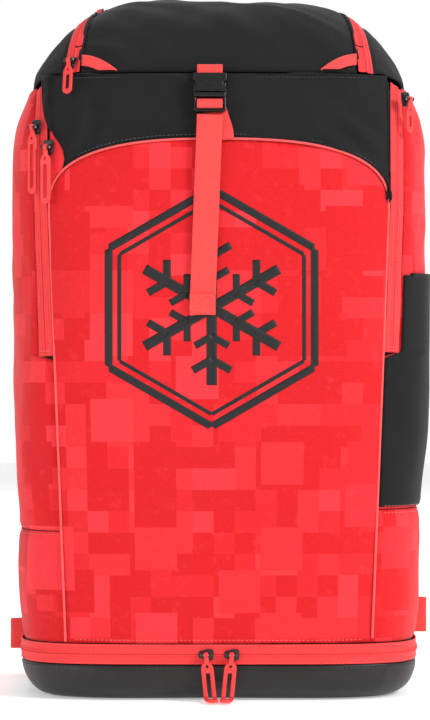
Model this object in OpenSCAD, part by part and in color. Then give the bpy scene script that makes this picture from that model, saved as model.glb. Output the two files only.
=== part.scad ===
// Tall boot backpack: an arched front panel between two side zips, a zipped dome lid with a
// buckled cinch strap, a coated base tray that folds down, and a padded harness on the back.
// X runs to the right of the front view, the front faces -Y, Z is up, the origin is on the floor.

/* [Body] */
// Height of the closed bag
bag_h = 552; // [500:1:600]
// Width across the side panels
bag_w = 326; // [300:1:350]
// Depth from the middle to the front face
front_d = 140; // [120:1:160]
// Depth from the middle to the back face
back_d = 124; // [110:1:140]
// Height where the walls start to close into the dome
dome_z = 430; // [400:1:445]
// Thickness of the padded wall fabric
wall_t = 3; // [2:0.5:4]
// How much narrower the walls are at the foot, as a share
waist = 0.035; // [0:0.005:0.06]

/* [Front panel] */
// Half width of the front panel at its arch
panel_top = 132; // [120:1:138]
// Half width of the front panel at the base zip
panel_foot = 119; // [110:1:132]
// Height of the arch's crown
arch_z = 436; // [400:1:445]
// Drop from the arch's crown to its side edges
arch_drop = 52; // [30:1:70]
// Width of a side zip band across the front
band_w = 13; // [10:1:16]

/* [Lid] */
// Height of the seam that the lid turns on
lid_seam_z = 488; // [470:1:500]
// Half width of the lid at its front seam
lid_front = 115; // [100:1:120]
// Half width of the lid at its top
lid_top = 95; // [80:1:100]
// How far back the lid's zip reaches
lid_back = 62; // [40:1:80]

/* [Base] */
// Height of the coated base tray
tray_h = 28; // [20:1:36]
// Height of the base zip band
base_zip_h = 16; // [12:1:20]
// Radius of the tray's lower edge
tray_r = 24; // [16:1:26]

/* [Webbing] */
// Width of the coral webbing
web_w = 20; // [15:1:25]
// Thickness of the webbing
web_t = 1.6; // [1:0.2:2]
// Sideways place of the cinch strap
strap_x = -7; // [-20:1:20]

/* [Hidden] */

coral = "#ff4a4d";
coral_webbing = "#ff6a62";
black_fabric = "#2c2c31";
black_coated = "#1d1d20";
black_plastic = "#141416";

half_w = bag_w / 2;
front_power = 4.5;
back_power = 6;
dome_power = 1.5;
belly_z = 240;
waist_run = 180;
gap = 0.4;
arch_power = 2.6;
shoulder_z = 480;
base_z = tray_h + base_zip_h;
seam_left_z = 131;
seam_right_z = 148;
zip_foot_left = 266;
zip_foot_right = 269;
back_seam = 40;
pocket_foot_z = 150;
pocket_top_z = 331;
tape_w = 6.5;
seam_gap = 1.2;
buckle_z = 470;
buckle_out = 6.5;
ladder_z = 458;
strap_low_z = 300;
strap_high_z = 454.4;
strap_hang = 5.2;
pin_r = 0.9;
pin_out = 6.2;
eye_w = 3.6;
side_outer_z = 446;
side_inner_z = 430;
side_right_z = 468;
slider_proud = 1;
lid_front_s = 0.992;
zip_stop = 0.029;
lid_rear_s = 0.735;
base_slider_x = 10;
base_slider_z = tray_h + base_zip_h / 2;

// ---------- the bag's surface ----------

// Share of the full plan at a height: the walls taper a little to the foot and close into a dome
function walls(z) = z > dome_z
    ? pow(max(0, 1 - pow((z - dome_z) / (bag_h - dome_z), dome_power)), 0.25)
    : 1 - waist * min(1, max(0, (belly_z - z) / waist_run));

// Distance from the axis to the full plan outline in a direction, a superellipse
function reach(a) =
    let (n = sin(a) < 0 ? front_power : back_power, b = sin(a) < 0 ? front_d : back_d)
    pow(pow(abs(cos(a)) / half_w, n) + pow(abs(sin(a)) / b, n), -1 / n);

// A point on the wall, moved in by d
function wall(a, z, d = 0) =
    let (r = walls(z) * reach(a) - d)
    [r * cos(a), r * sin(a), z];

// Direction of the front wall's point that is x to the side
function front_angle(x, z) =
    let (s = walls(z), k = 1 - pow(min(1, abs(x) / (s * half_w)), front_power))
    atan2(-front_d * s * pow(max(0, k), 1 / front_power), x);

// Height of the dome over a point in plan
function crown_z(x, y) =
    let (
        n = y < 0 ? front_power : back_power,
        b = y < 0 ? front_d : back_d,
        g = pow(pow(abs(x) / half_w, n) + pow(abs(y) / b, n), 1 / n)
    )
    dome_z + (bag_h - dome_z) * pow(max(0, 1 - pow(g, 4)), 1 / dome_power);

// A point on the dome, moved in by d along the surface's normal
function crown(p, d = 0) =
    let (
        e = 0.5,
        z = crown_z(p[0], p[1]),
        sx = (crown_z(p[0] + e, p[1]) - crown_z(p[0] - e, p[1])) / (2 * e),
        sy = (crown_z(p[0], p[1] + e) - crown_z(p[0], p[1] - e)) / (2 * e),
        l = sqrt(sx * sx + sy * sy + 1)
    )
    [p[0] + d * sx / l, p[1] + d * sy / l, z - d / l];

function mix(a, b, t) = a + (b - a) * t;

// Level direction straight out of the wall
function wall_out(a, z) =
    let (run = wall(a + 0.5, z) - wall(a - 0.5, z))
    [run[1], -run[0], 0] / norm(run);

// Half width of the front panel at a height
function panel_edge(z) =
    mix(panel_foot, panel_top, min(1, max(0, (z - base_z) / (arch_z - arch_drop - base_z))));

// Height of the arch over a share of the panel's half width
function arch(f) =
    arch_z - arch_drop + arch_drop * pow(max(0, 1 - pow(abs(f), arch_power)), 1 / arch_power);

// Across the front of the bag where a side panel starts: beside the zip band, or at the seam below it
function side_start(z, foot) = panel_edge(z) + gap + (z > foot ? band_w + gap : 0);

// ---------- sheets and ribbons ----------

// A closed sheet between two grids of points, with triangles over both faces and the rim
module sheet(outer, inner) {
    m = len(outer);
    n = len(outer[0]);
    o = function (i, j) i * n + j;
    q = function (i, j) m * n + i * n + j;
    skin = [
        for (i = [0 : m - 2], j = [0 : n - 2])
            each [
                [o(i, j), o(i + 1, j), o(i + 1, j + 1)],
                [o(i, j), o(i + 1, j + 1), o(i, j + 1)],
                [q(i, j), q(i + 1, j + 1), q(i + 1, j)],
                [q(i, j), q(i, j + 1), q(i + 1, j + 1)]
            ]
    ];
    ends = [
        for (j = [0 : n - 2])
            each [
                [o(0, j), o(0, j + 1), q(0, j + 1)],
                [o(0, j), q(0, j + 1), q(0, j)],
                [o(m - 1, j + 1), o(m - 1, j), q(m - 1, j)],
                [o(m - 1, j + 1), q(m - 1, j), q(m - 1, j + 1)]
            ]
    ];
    sides = [
        for (i = [0 : m - 2])
            each [
                [o(i + 1, 0), o(i, 0), q(i, 0)],
                [o(i + 1, 0), q(i, 0), q(i + 1, 0)],
                [o(i, n - 1), o(i + 1, n - 1), q(i + 1, n - 1)],
                [o(i, n - 1), q(i + 1, n - 1), q(i, n - 1)]
            ]
    ];
    polyhedron([each each outer, each each inner], concat(skin, ends, sides), convexity = 6);
}

// A wall panel: at(u, v) gives the direction, the height and how far it stands proud
module wall_sheet(nu, nv, at, d_out = 0, d_in = wall_t) {
    grid = function (d) [
        for (i = [0 : nv])
            [for (j = [0 : nu]) let (p = at(j / nu, i / nv)) wall(p[0], p[1], d - p[2])]
    ];
    sheet(grid(d_out), grid(d_in));
}

// A dome panel: at(u, v) gives a point in plan
module crown_sheet(nu, nv, at, d_out = 0, d_in = wall_t) {
    grid = function (d) [
        for (i = [0 : nv]) [for (j = [0 : nu]) crown(at(j / nu, i / nv), d)]
    ];
    sheet(grid(d_out), grid(d_in));
}

// A flat ribbon carried along points: side gives the way across, face the way through it
module ribbon(path, half, face_t, side, face) {
    left = [for (i = [0 : len(path) - 1]) path[i] - side(i) * half(i)];
    right = [for (i = [0 : len(path) - 1]) path[i] + side(i) * half(i)];
    out = [for (i = [0 : len(path) - 1]) face(i) * (is_function(face_t) ? face_t(i) : face_t) / 2];
    sheet(
        [for (i = [0 : len(path) - 1]) [left[i] + out[i], right[i] + out[i]]],
        [for (i = [0 : len(path) - 1]) [left[i] - out[i], right[i] - out[i]]]
    );
}

// Puts a piece where its own Z runs along up and its own -Y points along out
module framed(place, out, up) {
    z = up / norm(up);
    x = cross(z, out) / norm(cross(z, out));
    y = cross(z, x);
    multmatrix([
        [x[0], y[0], z[0], place[0]],
        [x[1], y[1], z[1], place[1]],
        [x[2], y[2], z[2], place[2]]
    ])
        children();
}

// ---------- shell ----------

module front_panel() {
    color(coral)
        wall_sheet(22, 9, function (u, v)
            let (f = sin(mix(-90, 90, u)), z = mix(base_z + gap, arch(f) - gap, v))
            [front_angle(f * panel_edge(z), z), z, 0]);
}

module front_yoke() {
    color(black_fabric)
        wall_sheet(22, 5, function (u, v)
            let (f = sin(mix(-90, 90, u)), z = mix(arch(f), lid_seam_z - gap, v))
            [front_angle(f * panel_edge(z), z), z, 0]);
}

// Upper side panel from the zip band round to the back seam; its front edge steps in below the zip
module side_panel(foot_z, zip_foot) {
    steps = [foot_z + gap, 205, zip_foot - gap, zip_foot + gap, 305, 345, 390, 430, 455, shoulder_z - gap];
    rows = len(steps) - 1;
    wall_sheet(11, rows, function (u, v)
        let (z = steps[round(v * rows)])
        [mix(front_angle(side_start(z, zip_foot), z), back_seam - gap, u), z, 0]);
}

module side_panel_right() {
    color(coral) side_panel(seam_right_z, zip_foot_right);
}

module side_panel_left() {
    color(coral) mirror([1, 0, 0]) side_panel(seam_left_z, zip_foot_left);
}

module lower_side(top_z) {
    wall_sheet(11, 2, function (u, v)
        let (z = mix(base_z + gap, top_z - gap, v))
        [mix(front_angle(panel_edge(z) + gap, z), back_seam - gap, u), z, 0]);
}

module lower_side_right() {
    color(coral) lower_side(seam_right_z);
}

module lower_side_left() {
    color(coral) mirror([1, 0, 0]) lower_side(seam_left_z);
}

module back_panel() {
    steps = [tray_h + gap, belly_z - waist_run, 120, 240, 360, 430, 455, shoulder_z - gap];
    rows = len(steps) - 1;
    color(black_fabric)
        wall_sheet(14, rows, function (u, v)
            [mix(back_seam, 180 - back_seam, u), steps[round(v * rows)], 0]);
}

// Side zip band beside the front panel, with a rounded foot
module side_zip(foot) {
    wall_sheet(3, 8, function (u, v)
        let (
            z = mix(foot, shoulder_z - gap, v),
            x0 = panel_edge(z) + gap,
            round_in = v == 0 ? 2 : 0
        )
        [front_angle(x0 + mix(round_in, band_w - gap - round_in, u), z), z, 0.6]);
}

module side_zip_right() {
    color(coral_webbing) side_zip(zip_foot_right + 2 * gap);
}

module side_zip_left() {
    color(coral_webbing) mirror([1, 0, 0]) side_zip(zip_foot_left + 2 * gap);
}

// Stretch pocket over the right side panel: sewn at its foot and sides, open along its top
module side_pocket() {
    pocket_t = 1.2;
    stand = 6.6;
    steps = [pocket_foot_z, 156, 166, 190, 230, zip_foot_right - gap, zip_foot_right + gap, 300, pocket_top_z];
    rows = len(steps) - 1;
    swell = function (u, v) min(1, sin(180 * u) * 2.2) * min(1, v * 2.6);
    color(black_fabric)
        wall_sheet(14, rows, function (u, v)
            let (z = steps[round(v * rows)])
            [mix(front_angle(side_start(z, zip_foot_right) + 1, z), back_seam - 8, u), z,
             (stand - pocket_t - 0.3) * swell(u, v)],
            -pocket_t - 0.3, -0.3);
}

// ---------- base ----------

// Outline of the tray's outer wall: straight above, rounded into the underside
function tray_in(z) = tray_r - sqrt(max(0, tray_r * tray_r - pow(tray_r - min(z, tray_r), 2)));

module base_tray() {
    turns = 48;
    t = 2.6;
    outer = [for (z = [tray_h - gap, 17, 9, 3.6, 1, 0]) [tray_in(z), z]];
    inner = [for (z = [tray_h - gap, 17, 9, 4.6, t + 0.4, t]) [tray_in(max(0, z - t)) + t, z]];
    ring = function (p) [
        for (k = [0 : turns - 1]) let (a = 360 * k / turns) wall(a, p[1], p[0])
    ];
    rings = concat([for (p = outer) ring(p)], [for (i = [5 : -1 : 0]) ring(inner[i])]);
    count = len(rings);
    id = function (i, k) i * turns + (k % turns);
    low = count * turns;
    skin = [
        for (i = [0 : 4], k = [0 : turns - 1])
            each [
                [id(i, k), id(i, k + 1), id(i + 1, k + 1)],
                [id(i, k), id(i + 1, k + 1), id(i + 1, k)]
            ]
    ];
    lining = [
        for (i = [6 : 10], k = [0 : turns - 1])
            each [
                [id(i, k), id(i, k + 1), id(i + 1, k + 1)],
                [id(i, k), id(i + 1, k + 1), id(i + 1, k)]
            ]
    ];
    rim = [
        for (k = [0 : turns - 1])
            each [
                [id(11, k), id(11, k + 1), id(0, k + 1)],
                [id(11, k), id(0, k + 1), id(0, k)]
            ]
    ];
    floors = [
        for (k = [0 : turns - 1])
            each [[id(5, k), id(5, k + 1), low], [id(6, k + 1), id(6, k), low + 1]]
    ];
    color(black_coated)
        polyhedron(
            [each each rings, [0, 0, 0], [0, 0, t]],
            [for (f = concat(skin, lining, rim, floors)) [f[2], f[1], f[0]]],
            convexity = 8
        );
}

// Zip tape round the front and sides of the base, one half of the band's height
module base_zip(z0, z1) {
    color(coral_webbing)
        wall_sheet(30, 1, function (u, v) [mix(-180 - back_seam, back_seam, u), mix(z0, z1, v), 0.8],
            0, 2.2);
}

module base_zip_upper() {
    base_zip(tray_h + base_zip_h / 2 + gap / 2, base_z);
}

module base_zip_lower() {
    base_zip(tray_h, tray_h + base_zip_h / 2 - gap / 2);
}

// A flat board that follows the plan, moved in by d
module board(z, t, d, turns = 36) {
    translate([0, 0, z])
        linear_extrude(t)
            polygon([for (k = [0 : turns - 1]) let (p = wall(360 * k / turns, z, d)) [p[0], p[1]]]);
}

module base_board() {
    color("#3a3a3e") board(3.1, 2, 24.6);
}

module floor_panel() {
    color("#39393d") board(base_z + 2, 1.6, 4.2);
}

module frame_sheet() {
    inset = 5;
    color("#e9e9e6")
        translate([-105, back_d * (1 - waist) - wall_t - inset, 60])
            cube([210, 2, 370]);
}

// ---------- lid ----------

// Plan of the lid's front seam and of its arched back edge, over a share of its half width
function lid_seam(f) =
    let (a = front_angle(f * lid_front, lid_seam_z), p = wall(a, lid_seam_z))
    [p[0], p[1]];

function lid_arch(f) =
    [lid_top * f, lid_back * pow(max(0, 1 - pow(abs(f), arch_power)), 1 / arch_power)];

// Moves a plan point back until it lies just behind the lid's front seam
function behind_seam(p) =
    let (q = wall(front_angle(p[0], lid_seam_z), lid_seam_z))
    [p[0], max(p[1], q[1] + 0.6)];

// The lid's outline from its front left corner, over the back, to its front right corner
function lid_outline(s) =
    s < 0.25 ? mix(lid_seam(-1), lid_arch(-1), s / 0.25)
    : s > 0.75 ? mix(lid_arch(1), lid_seam(1), (s - 0.75) / 0.25)
    : lid_arch(-cos((s - 0.25) * 360));

// The outline moved out by d, square to its own run
function lid_offset(s, d) =
    let (
        e = 0.004,
        p = lid_outline(max(0, s - e)),
        q = lid_outline(min(1, s + e)),
        l = norm(q - p)
    )
    behind_seam(lid_outline(s) + d * [p[1] - q[1], q[0] - p[0]] / l);

module lid_panel() {
    inner = -tape_w - gap;
    color(black_fabric)
        crown_sheet(18, 9, function (u, v)
            let (x = mix(lid_offset(0, inner)[0], lid_offset(1, inner)[0], 0.5 + 0.5 * sin(mix(-90, 90, u))))
            mix(behind_seam([x, -front_d]), lid_offset(0.25 + 0.5 * u, inner), v));
}

// Share of the tape's length at its n-th column: short end stops, then even steps between them
function stop_share(n) =
    n < 2 ? zip_stop * min(n, 1) + 0.003 * max(0, n - 1)
    : n > 42 ? 1 - stop_share(44 - n)
    : mix(zip_stop + 0.003, 1 - zip_stop - 0.003, (n - 2) / 40);

module lid_zip_inner() {
    s0 = zip_stop + 0.0045;
    color(coral_webbing)
        crown_sheet(42, 1, function (u, v)
            lid_offset(mix(s0, 1 - s0, u), mix(-tape_w, -gap / 2, 1 - v)), -0.6, 1.6);
}

// The outer tape stays on the bag; past each end stop it fills the whole width of the zip
module lid_zip_outer() {
    color(coral_webbing)
        crown_sheet(44, 1, function (u, v)
            let (n = round(44 * u), d0 = n < 2 || n > 42 ? -tape_w : gap / 2)
            lid_offset(stop_share(n), mix(d0, tape_w, 1 - v)), -0.6, 1.6);
}

// Dome panel between the lid's tape and the shoulder seam, from the yoke round to the back seam
module top_gusset() {
    a0 = front_angle(panel_top + gap, lid_seam_z);
    crown_sheet(12, 5, function (u, v)
        let (
            low = mix(lid_seam_z, shoulder_z, min(1, 3 * u)) + seam_gap,
            p = wall(mix(a0, back_seam - gap, u), low)
        )
        mix([p[0], p[1]], lid_offset(mix(1, 0.55, u), tape_w + gap), v));
}

module top_gusset_right() {
    color(black_fabric) top_gusset();
}

module top_gusset_left() {
    color(black_fabric) mirror([1, 0, 0]) top_gusset();
}

module rear_top_panel() {
    color(black_fabric)
        crown_sheet(12, 5, function (u, v)
            let (p = wall(mix(back_seam, 180 - back_seam, u), shoulder_z + seam_gap))
            mix([p[0], p[1]], lid_offset(mix(0.548, 0.452, u), tape_w + gap), v));
}

// ---------- cinch strap and buckle ----------

// The front face's depth under the strap, moved out by d
function strap_y(z, d) = -front_d * walls(z) - d;

// Way up the yoke at the buckle
buckle_up = [0, strap_y(lid_seam_z, 0) - strap_y(ladder_z, 0), lid_seam_z - ladder_z];

// Puts a piece at the buckle: its own Z runs up the yoke and its own -Y points out
module at_buckle() {
    framed([strap_x, strap_y(buckle_z, buckle_out), buckle_z], [0, -1, 0], buckle_up)
        children();
}

// Sewn loop that comes out of the lid seam and holds the upper half of the buckle
module strap_loop() {
    steps = [lid_seam_z, 486.5, 485];
    color(coral_webbing)
        ribbon([for (z = steps) [strap_x, strap_y(z, 1.3), z]],
            function (i) web_w / 2, web_t, function (i) [1, 0, 0], function (i) [0, -1, 0]);
}

// Upper half of the buckle: a sleeve that is open at its foot and sides
module buckle_female() {
    color(black_plastic)
        at_buckle()
            difference() {
                translate([-13, -4, 2])
                    cube([26, 8, 15]);
                translate([-10.6, -2.4, 1.9])
                    cube([21.2, 4.8, 11.1]);
                translate([-13.1, -2.4, 1.9])
                    cube([26.2, 4.8, 9.1]);
            }
}

// Lower half of the buckle: a ladder with two slots and a guide tongue
module buckle_male() {
    color(black_plastic)
        at_buckle() {
            difference() {
                translate([-12.5, -3, -14])
                    cube([25, 6, 15.6]);
                for (z = [-11.8, -6])
                    translate([-10.6, -3.1, z])
                        cube([21.2, 6.2, 3.6]);
            }
            translate([-2.4, -1.4, 1.5])
                cube([4.8, 2.8, 9]);
        }
}

// One sprung arm of the buckle, with the thumb pad that shows in the side opening
module buckle_latch() {
    color(black_plastic)
        at_buckle()
            union() {
                translate([7, -1.4, 1.9])
                    cube([2.6, 2.8, 8.6]);
                translate([9.5, -1.9, 5.2])
                    cube([3, 3.8, 5]);
            }
}

module buckle_latch_right() {
    buckle_latch();
}

module buckle_latch_left() {
    translate([2 * strap_x, 0, 0]) mirror([1, 0, 0]) buckle_latch();
}

// Rear leg of the cinch strap, sewn into the arch seam and lying behind the ladder
module cinch_strap_anchor() {
    steps = [arch_z - 1, 442, 450, 458];
    color(coral_webbing)
        ribbon([for (z = steps) [strap_x + 8, strap_y(z, 1.4), z]],
            function (i) web_w / 2, 1.2, function (i) [1, 0, 0], function (i) [0, -1, 0]);
}

// Front leg that hangs from the ladder to an end folded twice and sewn
module cinch_strap_tail() {
    fold = 16;
    steps = [strap_low_z, strap_low_z + fold, strap_low_z + fold + 1, 345, 390, 428, strap_high_z];
    share = function (i) (strap_high_z - steps[i]) / (strap_high_z - strap_low_z);
    color(coral_webbing)
        ribbon([for (i = [0 : 6]) [strap_x - 6 * share(i), -front_d - strap_hang, steps[i]]],
            function (i) web_w / 2, function (i) i < 2 ? 2 * web_t : web_t,
            function (i) [1, 0, 0], function (i) [0, -1, 0]);
}

// Plan point of the dome's front where it is x to the side at a height
function dome_front(x, z) =
    let (p = wall(front_angle(x, z), z))
    [p[0], p[1]];

// Slanted webbing tab from the lid's front seam to the zip tape
module corner_tab() {
    seam = lid_seam_z + 2;
    color(coral_webbing)
        crown_sheet(6, 2, function (u, v)
            mix(dome_front(mix(94, 79, v), seam), dome_front(107, mix(494, 503, v)), u), -2, -0.4);
}

module corner_tab_right() {
    corner_tab();
}

module corner_tab_left() {
    mirror([1, 0, 0]) corner_tab();
}

// ---------- zip sliders and pulls ----------

// Slider that stands on a zip: the zip runs along its own Z, its pull's pin along its own X
module slider() {
    color(black_plastic) {
        translate([-4.5, -3.4, -6])
            cube([9, 2.6, 12]);
        for (side = [-1, 1])
            translate([side * 3.1 - 1, -pin_out - 1.6, -2])
                cube([2, 4.8 + 0.2, 4]);
        translate([-3.6, -pin_out, 0])
            rotate([0, 90, 0])
                cylinder(r = pin_r, h = 7.2, $fn = 24);
    }
}

// Pull that hangs from the pin: an eye, a slotted grip and a rounded tip
module pull(length, width = 9, thick = 2.4) {
    color(coral_webbing) {
        difference() {
            union() {
                translate([-eye_w / 2, -pin_out, 0])
                    rotate([0, 90, 0])
                        cylinder(r = 2.3, h = eye_w, $fn = 32);
                translate([-eye_w / 2, -pin_out - thick / 2, -7])
                    cube([eye_w, thick, 6]);
            }
            translate([-eye_w, -pin_out, 0])
                rotate([0, 90, 0])
                    cylinder(r = pin_r + 0.25, h = 2 * eye_w, $fn = 32);
        }
        translate([0, -pin_out + thick / 2, 0])
            rotate([90, 0, 0])
                linear_extrude(thick)
                    difference() {
                        union() {
                            translate([-width / 2, -length + width / 2])
                                square([width, length - 7 - width / 2]);
                            translate([0, -length + width / 2])
                                circle(d = width, $fn = 36);
                        }
                        translate([-1.5, -length + width / 2])
                            square([3, length - width - 11]);
                    }
    }
}

// Middle of a slider's track on the right zip, a share of the way across the band
function track(z, share, proud = slider_proud) =
    wall(front_angle(panel_edge(z) + gap + band_w * share, z), z, -proud);

// A slider's place: above the dome's start it stays in line with the straight zip below
function slider_place(z, share) =
    track(min(z, dome_z), share) + [0, 0, max(0, z - dome_z)];

module on_side_zip(z, share) {
    a = front_angle(panel_edge(dome_z) + gap + band_w * share, dome_z);
    framed(slider_place(z, share), wall_out(a, dome_z), [0, 0, 1])
        children();
}

module side_slider_outer() {
    mirror([1, 0, 0]) on_side_zip(side_outer_z, 0.62) slider();
}

module side_pull_outer() {
    mirror([1, 0, 0]) on_side_zip(side_outer_z, 0.62) pull(52);
}

module side_slider_inner() {
    mirror([1, 0, 0]) on_side_zip(side_inner_z, -0.12) slider();
}

module side_pull_inner() {
    mirror([1, 0, 0]) on_side_zip(side_inner_z, -0.12) pull(44);
}

module side_slider_right() {
    on_side_zip(side_right_z, 0.85) slider();
}

module side_pull_right() {
    on_side_zip(side_right_z, 0.85) pull(26, 8);
}

// A lid slider's frame on the right side run of the zip: its place, the way out and the way along
function lid_slider_frame(s) =
    let (
        foot = crown(lid_outline(s)),
        place = crown(lid_outline(s), -slider_proud),
        run = crown(lid_outline(s - 0.02)) - foot
    )
    [place, (place - foot) / norm(place - foot), run / norm(run)];

module on_lid_zip(s, turn = 1) {
    f = lid_slider_frame(s);
    mirror([1, 0, 0]) framed(f[0], f[1], turn * f[2]) children();
}

module lid_slider_front() {
    on_lid_zip(lid_front_s) slider();
}

// The front pull droops a little towards the yoke below it
module lid_pull_front() {
    on_lid_zip(lid_front_s)
        translate([0, -pin_out, 0])
            rotate([10, 0, 0])
                translate([0, pin_out, 0])
                    pull(30, 8);
}

module lid_slider_rear() {
    on_lid_zip(lid_rear_s) slider();
}

// The rear pull lies back along the zip
module lid_pull_rear() {
    on_lid_zip(lid_rear_s, -1) pull(24, 8);
}

// Base sliders ride along the front of the base zip; their pulls bend forward where they meet the floor
module on_base(x) {
    translate([x, -front_d * walls(base_slider_z) - 0.8, base_slider_z])
        children();
}

module base_slider(x) {
    on_base(x)
        color(black_plastic) {
            translate([-6, -3.4, -4.5])
                cube([12, 2.6, 9]);
            for (side = [-1, 1])
                translate([side * 3.1 - 1, -pin_out - 1.6, -2])
                    cube([2, 5, 4]);
            translate([-3.6, -pin_out, 0])
                rotate([0, 90, 0])
                    cylinder(r = pin_r, h = 7.2, $fn = 24);
        }
}

// Base pull: an eye and a slotted strap that bends forward where it meets the floor
module base_pull(x) {
    thick = 2.6;
    width = 10;
    drop = base_slider_z - 0.8;
    reach_out = 22;
    on_base(x)
        color(coral_webbing)
            difference() {
                union() {
                    translate([-eye_w / 2, -pin_out, 0])
                        rotate([0, 90, 0])
                            cylinder(r = 2.3, h = eye_w, $fn = 32);
                    translate([-eye_w / 2, -pin_out - thick / 2, -8])
                        cube([eye_w, thick, 7]);
                    translate([-width / 2, -pin_out - thick / 2, -drop])
                        cube([width, thick, drop - 7]);
                    translate([-width / 2, -pin_out - reach_out, -drop])
                        cube([width, reach_out, thick]);
                }
                translate([-eye_w, -pin_out, 0])
                    rotate([0, 90, 0])
                        cylinder(r = pin_r + 0.25, h = 2 * eye_w, $fn = 32);
                translate([-1.6, -pin_out - thick, -drop + 8])
                    cube([3.2, 2 * thick, 14]);
            }
}

module base_slider_left() {
    base_slider(-base_slider_x);
}

module base_pull_left() {
    base_pull(-base_slider_x);
}

module base_slider_right() {
    base_slider(base_slider_x);
}

module base_pull_right() {
    base_pull(base_slider_x);
}

// ---------- harness ----------

// A pad on the back between two directions and two heights, crowned over its middle
module pad_sheet(a0, a1, z0, z1, thick) {
    at = function (u, v) [mix(a0, a1, u), mix(z0, z1, v)];
    puff = function (u, v)
        2 + thick * pow(max(0, sin(180 * u)), 0.35) * pow(max(0, sin(180 * v)), 0.25);
    n = 8;
    m = 10;
    sheet(
        [for (i = [0 : m]) [for (j = [0 : n])
            let (p = at(j / n, i / m)) wall(p[0], p[1], -2 * gap - puff(j / n, i / m))]],
        [for (i = [0 : m]) [for (j = [0 : n]) let (p = at(j / n, i / m)) wall(p[0], p[1], -2 * gap)]]
    );
}

module back_pad_right() {
    color(black_fabric) pad_sheet(55, 84, 175, 420, 12);
}

module back_pad_left() {
    color(black_fabric) pad_sheet(96, 125, 175, 420, 12);
}

module lumbar_pad() {
    color(black_fabric) pad_sheet(53, 127, 70, 165, 16);
}

// Haul loop that hangs from the shoulder seam
module haul_handle() {
    top_z = 468;
    drop = 28;
    turn = function (i) mix(-90, 90, i / 12);
    color(coral_webbing)
        ribbon([for (i = [0 : 12]) [34 * sin(turn(i)), back_d + 12, top_z - drop * cos(turn(i))]],
            function (i) 10, 3,
            function (i) [0, 1, 0],
            function (i) [sin(turn(i)), 0, -cos(turn(i))]);
}

// Middle line of the right shoulder strap, from its anchor at the top to its ladder lock
function shoulder_line(t) = [
    mix(44, 112, t) + 26 * sin(180 * t),
    back_d + 12 + 40 * pow(max(0, sin(180 * t)), 0.8) - 2 * t,
    mix(426, 190, t)
];

module shoulder_strap() {
    n = 16;
    rise = function (i) let (t = i / n, e = 0.02, d = shoulder_line(min(1, t + e)) - shoulder_line(max(0, t - e)))
        d / norm(d);
    across = function (i) let (d = rise(i), s = cross([0, 1, 0], d)) s / norm(s);
    color(black_fabric)
        ribbon([for (i = [0 : n]) shoulder_line(i / n)],
            function (i) mix(32, 22, i / n), 13, across,
            function (i) cross(rise(i), across(i)));
}

module shoulder_strap_right() {
    shoulder_strap();
}

module shoulder_strap_left() {
    mirror([1, 0, 0]) shoulder_strap();
}

module ladder_lock() {
    color(black_plastic)
        translate(shoulder_line(1) + [3, 0, -16.5])
            rotate([0, -12, 0])
                difference() {
                    translate([-15, -2.5, -10])
                        cube([30, 5, 20]);
                    for (z = [-6, 0.5])
                        translate([-11, -3, z])
                            cube([22, 6, 4]);
                }
}

module ladder_lock_right() {
    ladder_lock();
}

module ladder_lock_left() {
    mirror([1, 0, 0]) ladder_lock();
}

// Webbing from the wing up to just below the ladder lock
module lower_webbing(foot_z) {
    n = 6;
    top = shoulder_line(1) + [6, 2, -32.5];
    foot = [152, back_d + 2, foot_z];
    way = (top - foot) / norm(top - foot);
    side = cross(way, [0, 1, 0]) / norm(cross(way, [0, 1, 0]));
    color(coral_webbing)
        ribbon([for (i = [0 : n]) mix(foot, top, i / n)],
            function (i) 12, web_t, function (i) side, function (i) cross(side, way));
}

module lower_webbing_right() {
    lower_webbing(60);
}

module lower_webbing_left() {
    mirror([1, 0, 0]) lower_webbing(44);
}

// Folded webbing wing sewn into the lower back corner
module anchor_wing(z0, z1) {
    color(coral_webbing)
        translate([0, 0, z0])
            linear_extrude(z1 - z0)
                polygon([[138, 112], [172, 110], [177, 113], [174, 116], [152, 123.5], [138, 121]]);
}

module anchor_wing_right() {
    anchor_wing(34, 64);
}

module anchor_wing_left() {
    mirror([1, 0, 0]) anchor_wing(20, 46);
}

front_panel();
front_yoke();
side_panel_left();
side_panel_right();
lower_side_left();
lower_side_right();
top_gusset_left();
top_gusset_right();
rear_top_panel();
back_panel();
side_zip_left();
side_zip_right();
side_pocket();
base_zip_upper();
base_zip_lower();
base_tray();
base_board();
floor_panel();
frame_sheet();
lid_panel();
lid_zip_inner();
lid_zip_outer();
corner_tab_left();
corner_tab_right();
strap_loop();
buckle_female();
buckle_male();
buckle_latch_left();
buckle_latch_right();
cinch_strap_anchor();
cinch_strap_tail();
side_slider_outer();
side_pull_outer();
side_slider_inner();
side_pull_inner();
side_slider_right();
side_pull_right();
lid_slider_front();
lid_pull_front();
lid_slider_rear();
lid_pull_rear();
base_slider_left();
base_pull_left();
base_slider_right();
base_pull_right();
back_pad_left();
back_pad_right();
lumbar_pad();
haul_handle();
shoulder_strap_left();
shoulder_strap_right();
ladder_lock_left();
ladder_lock_right();
lower_webbing_left();
lower_webbing_right();
anchor_wing_left();
anchor_wing_right();
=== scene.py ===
"""Looks of the tall coral and black boot backpack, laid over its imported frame.

Lengths are metres in the frame's own axes: X to the right of the front view, the front towards -Y, Z up.
Every fabric panel is a grid on one shared bag surface, pushed out along that surface's normal.
"""
import math

import bmesh
import bpy
import numpy as np
from mathutils import Matrix


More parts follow.
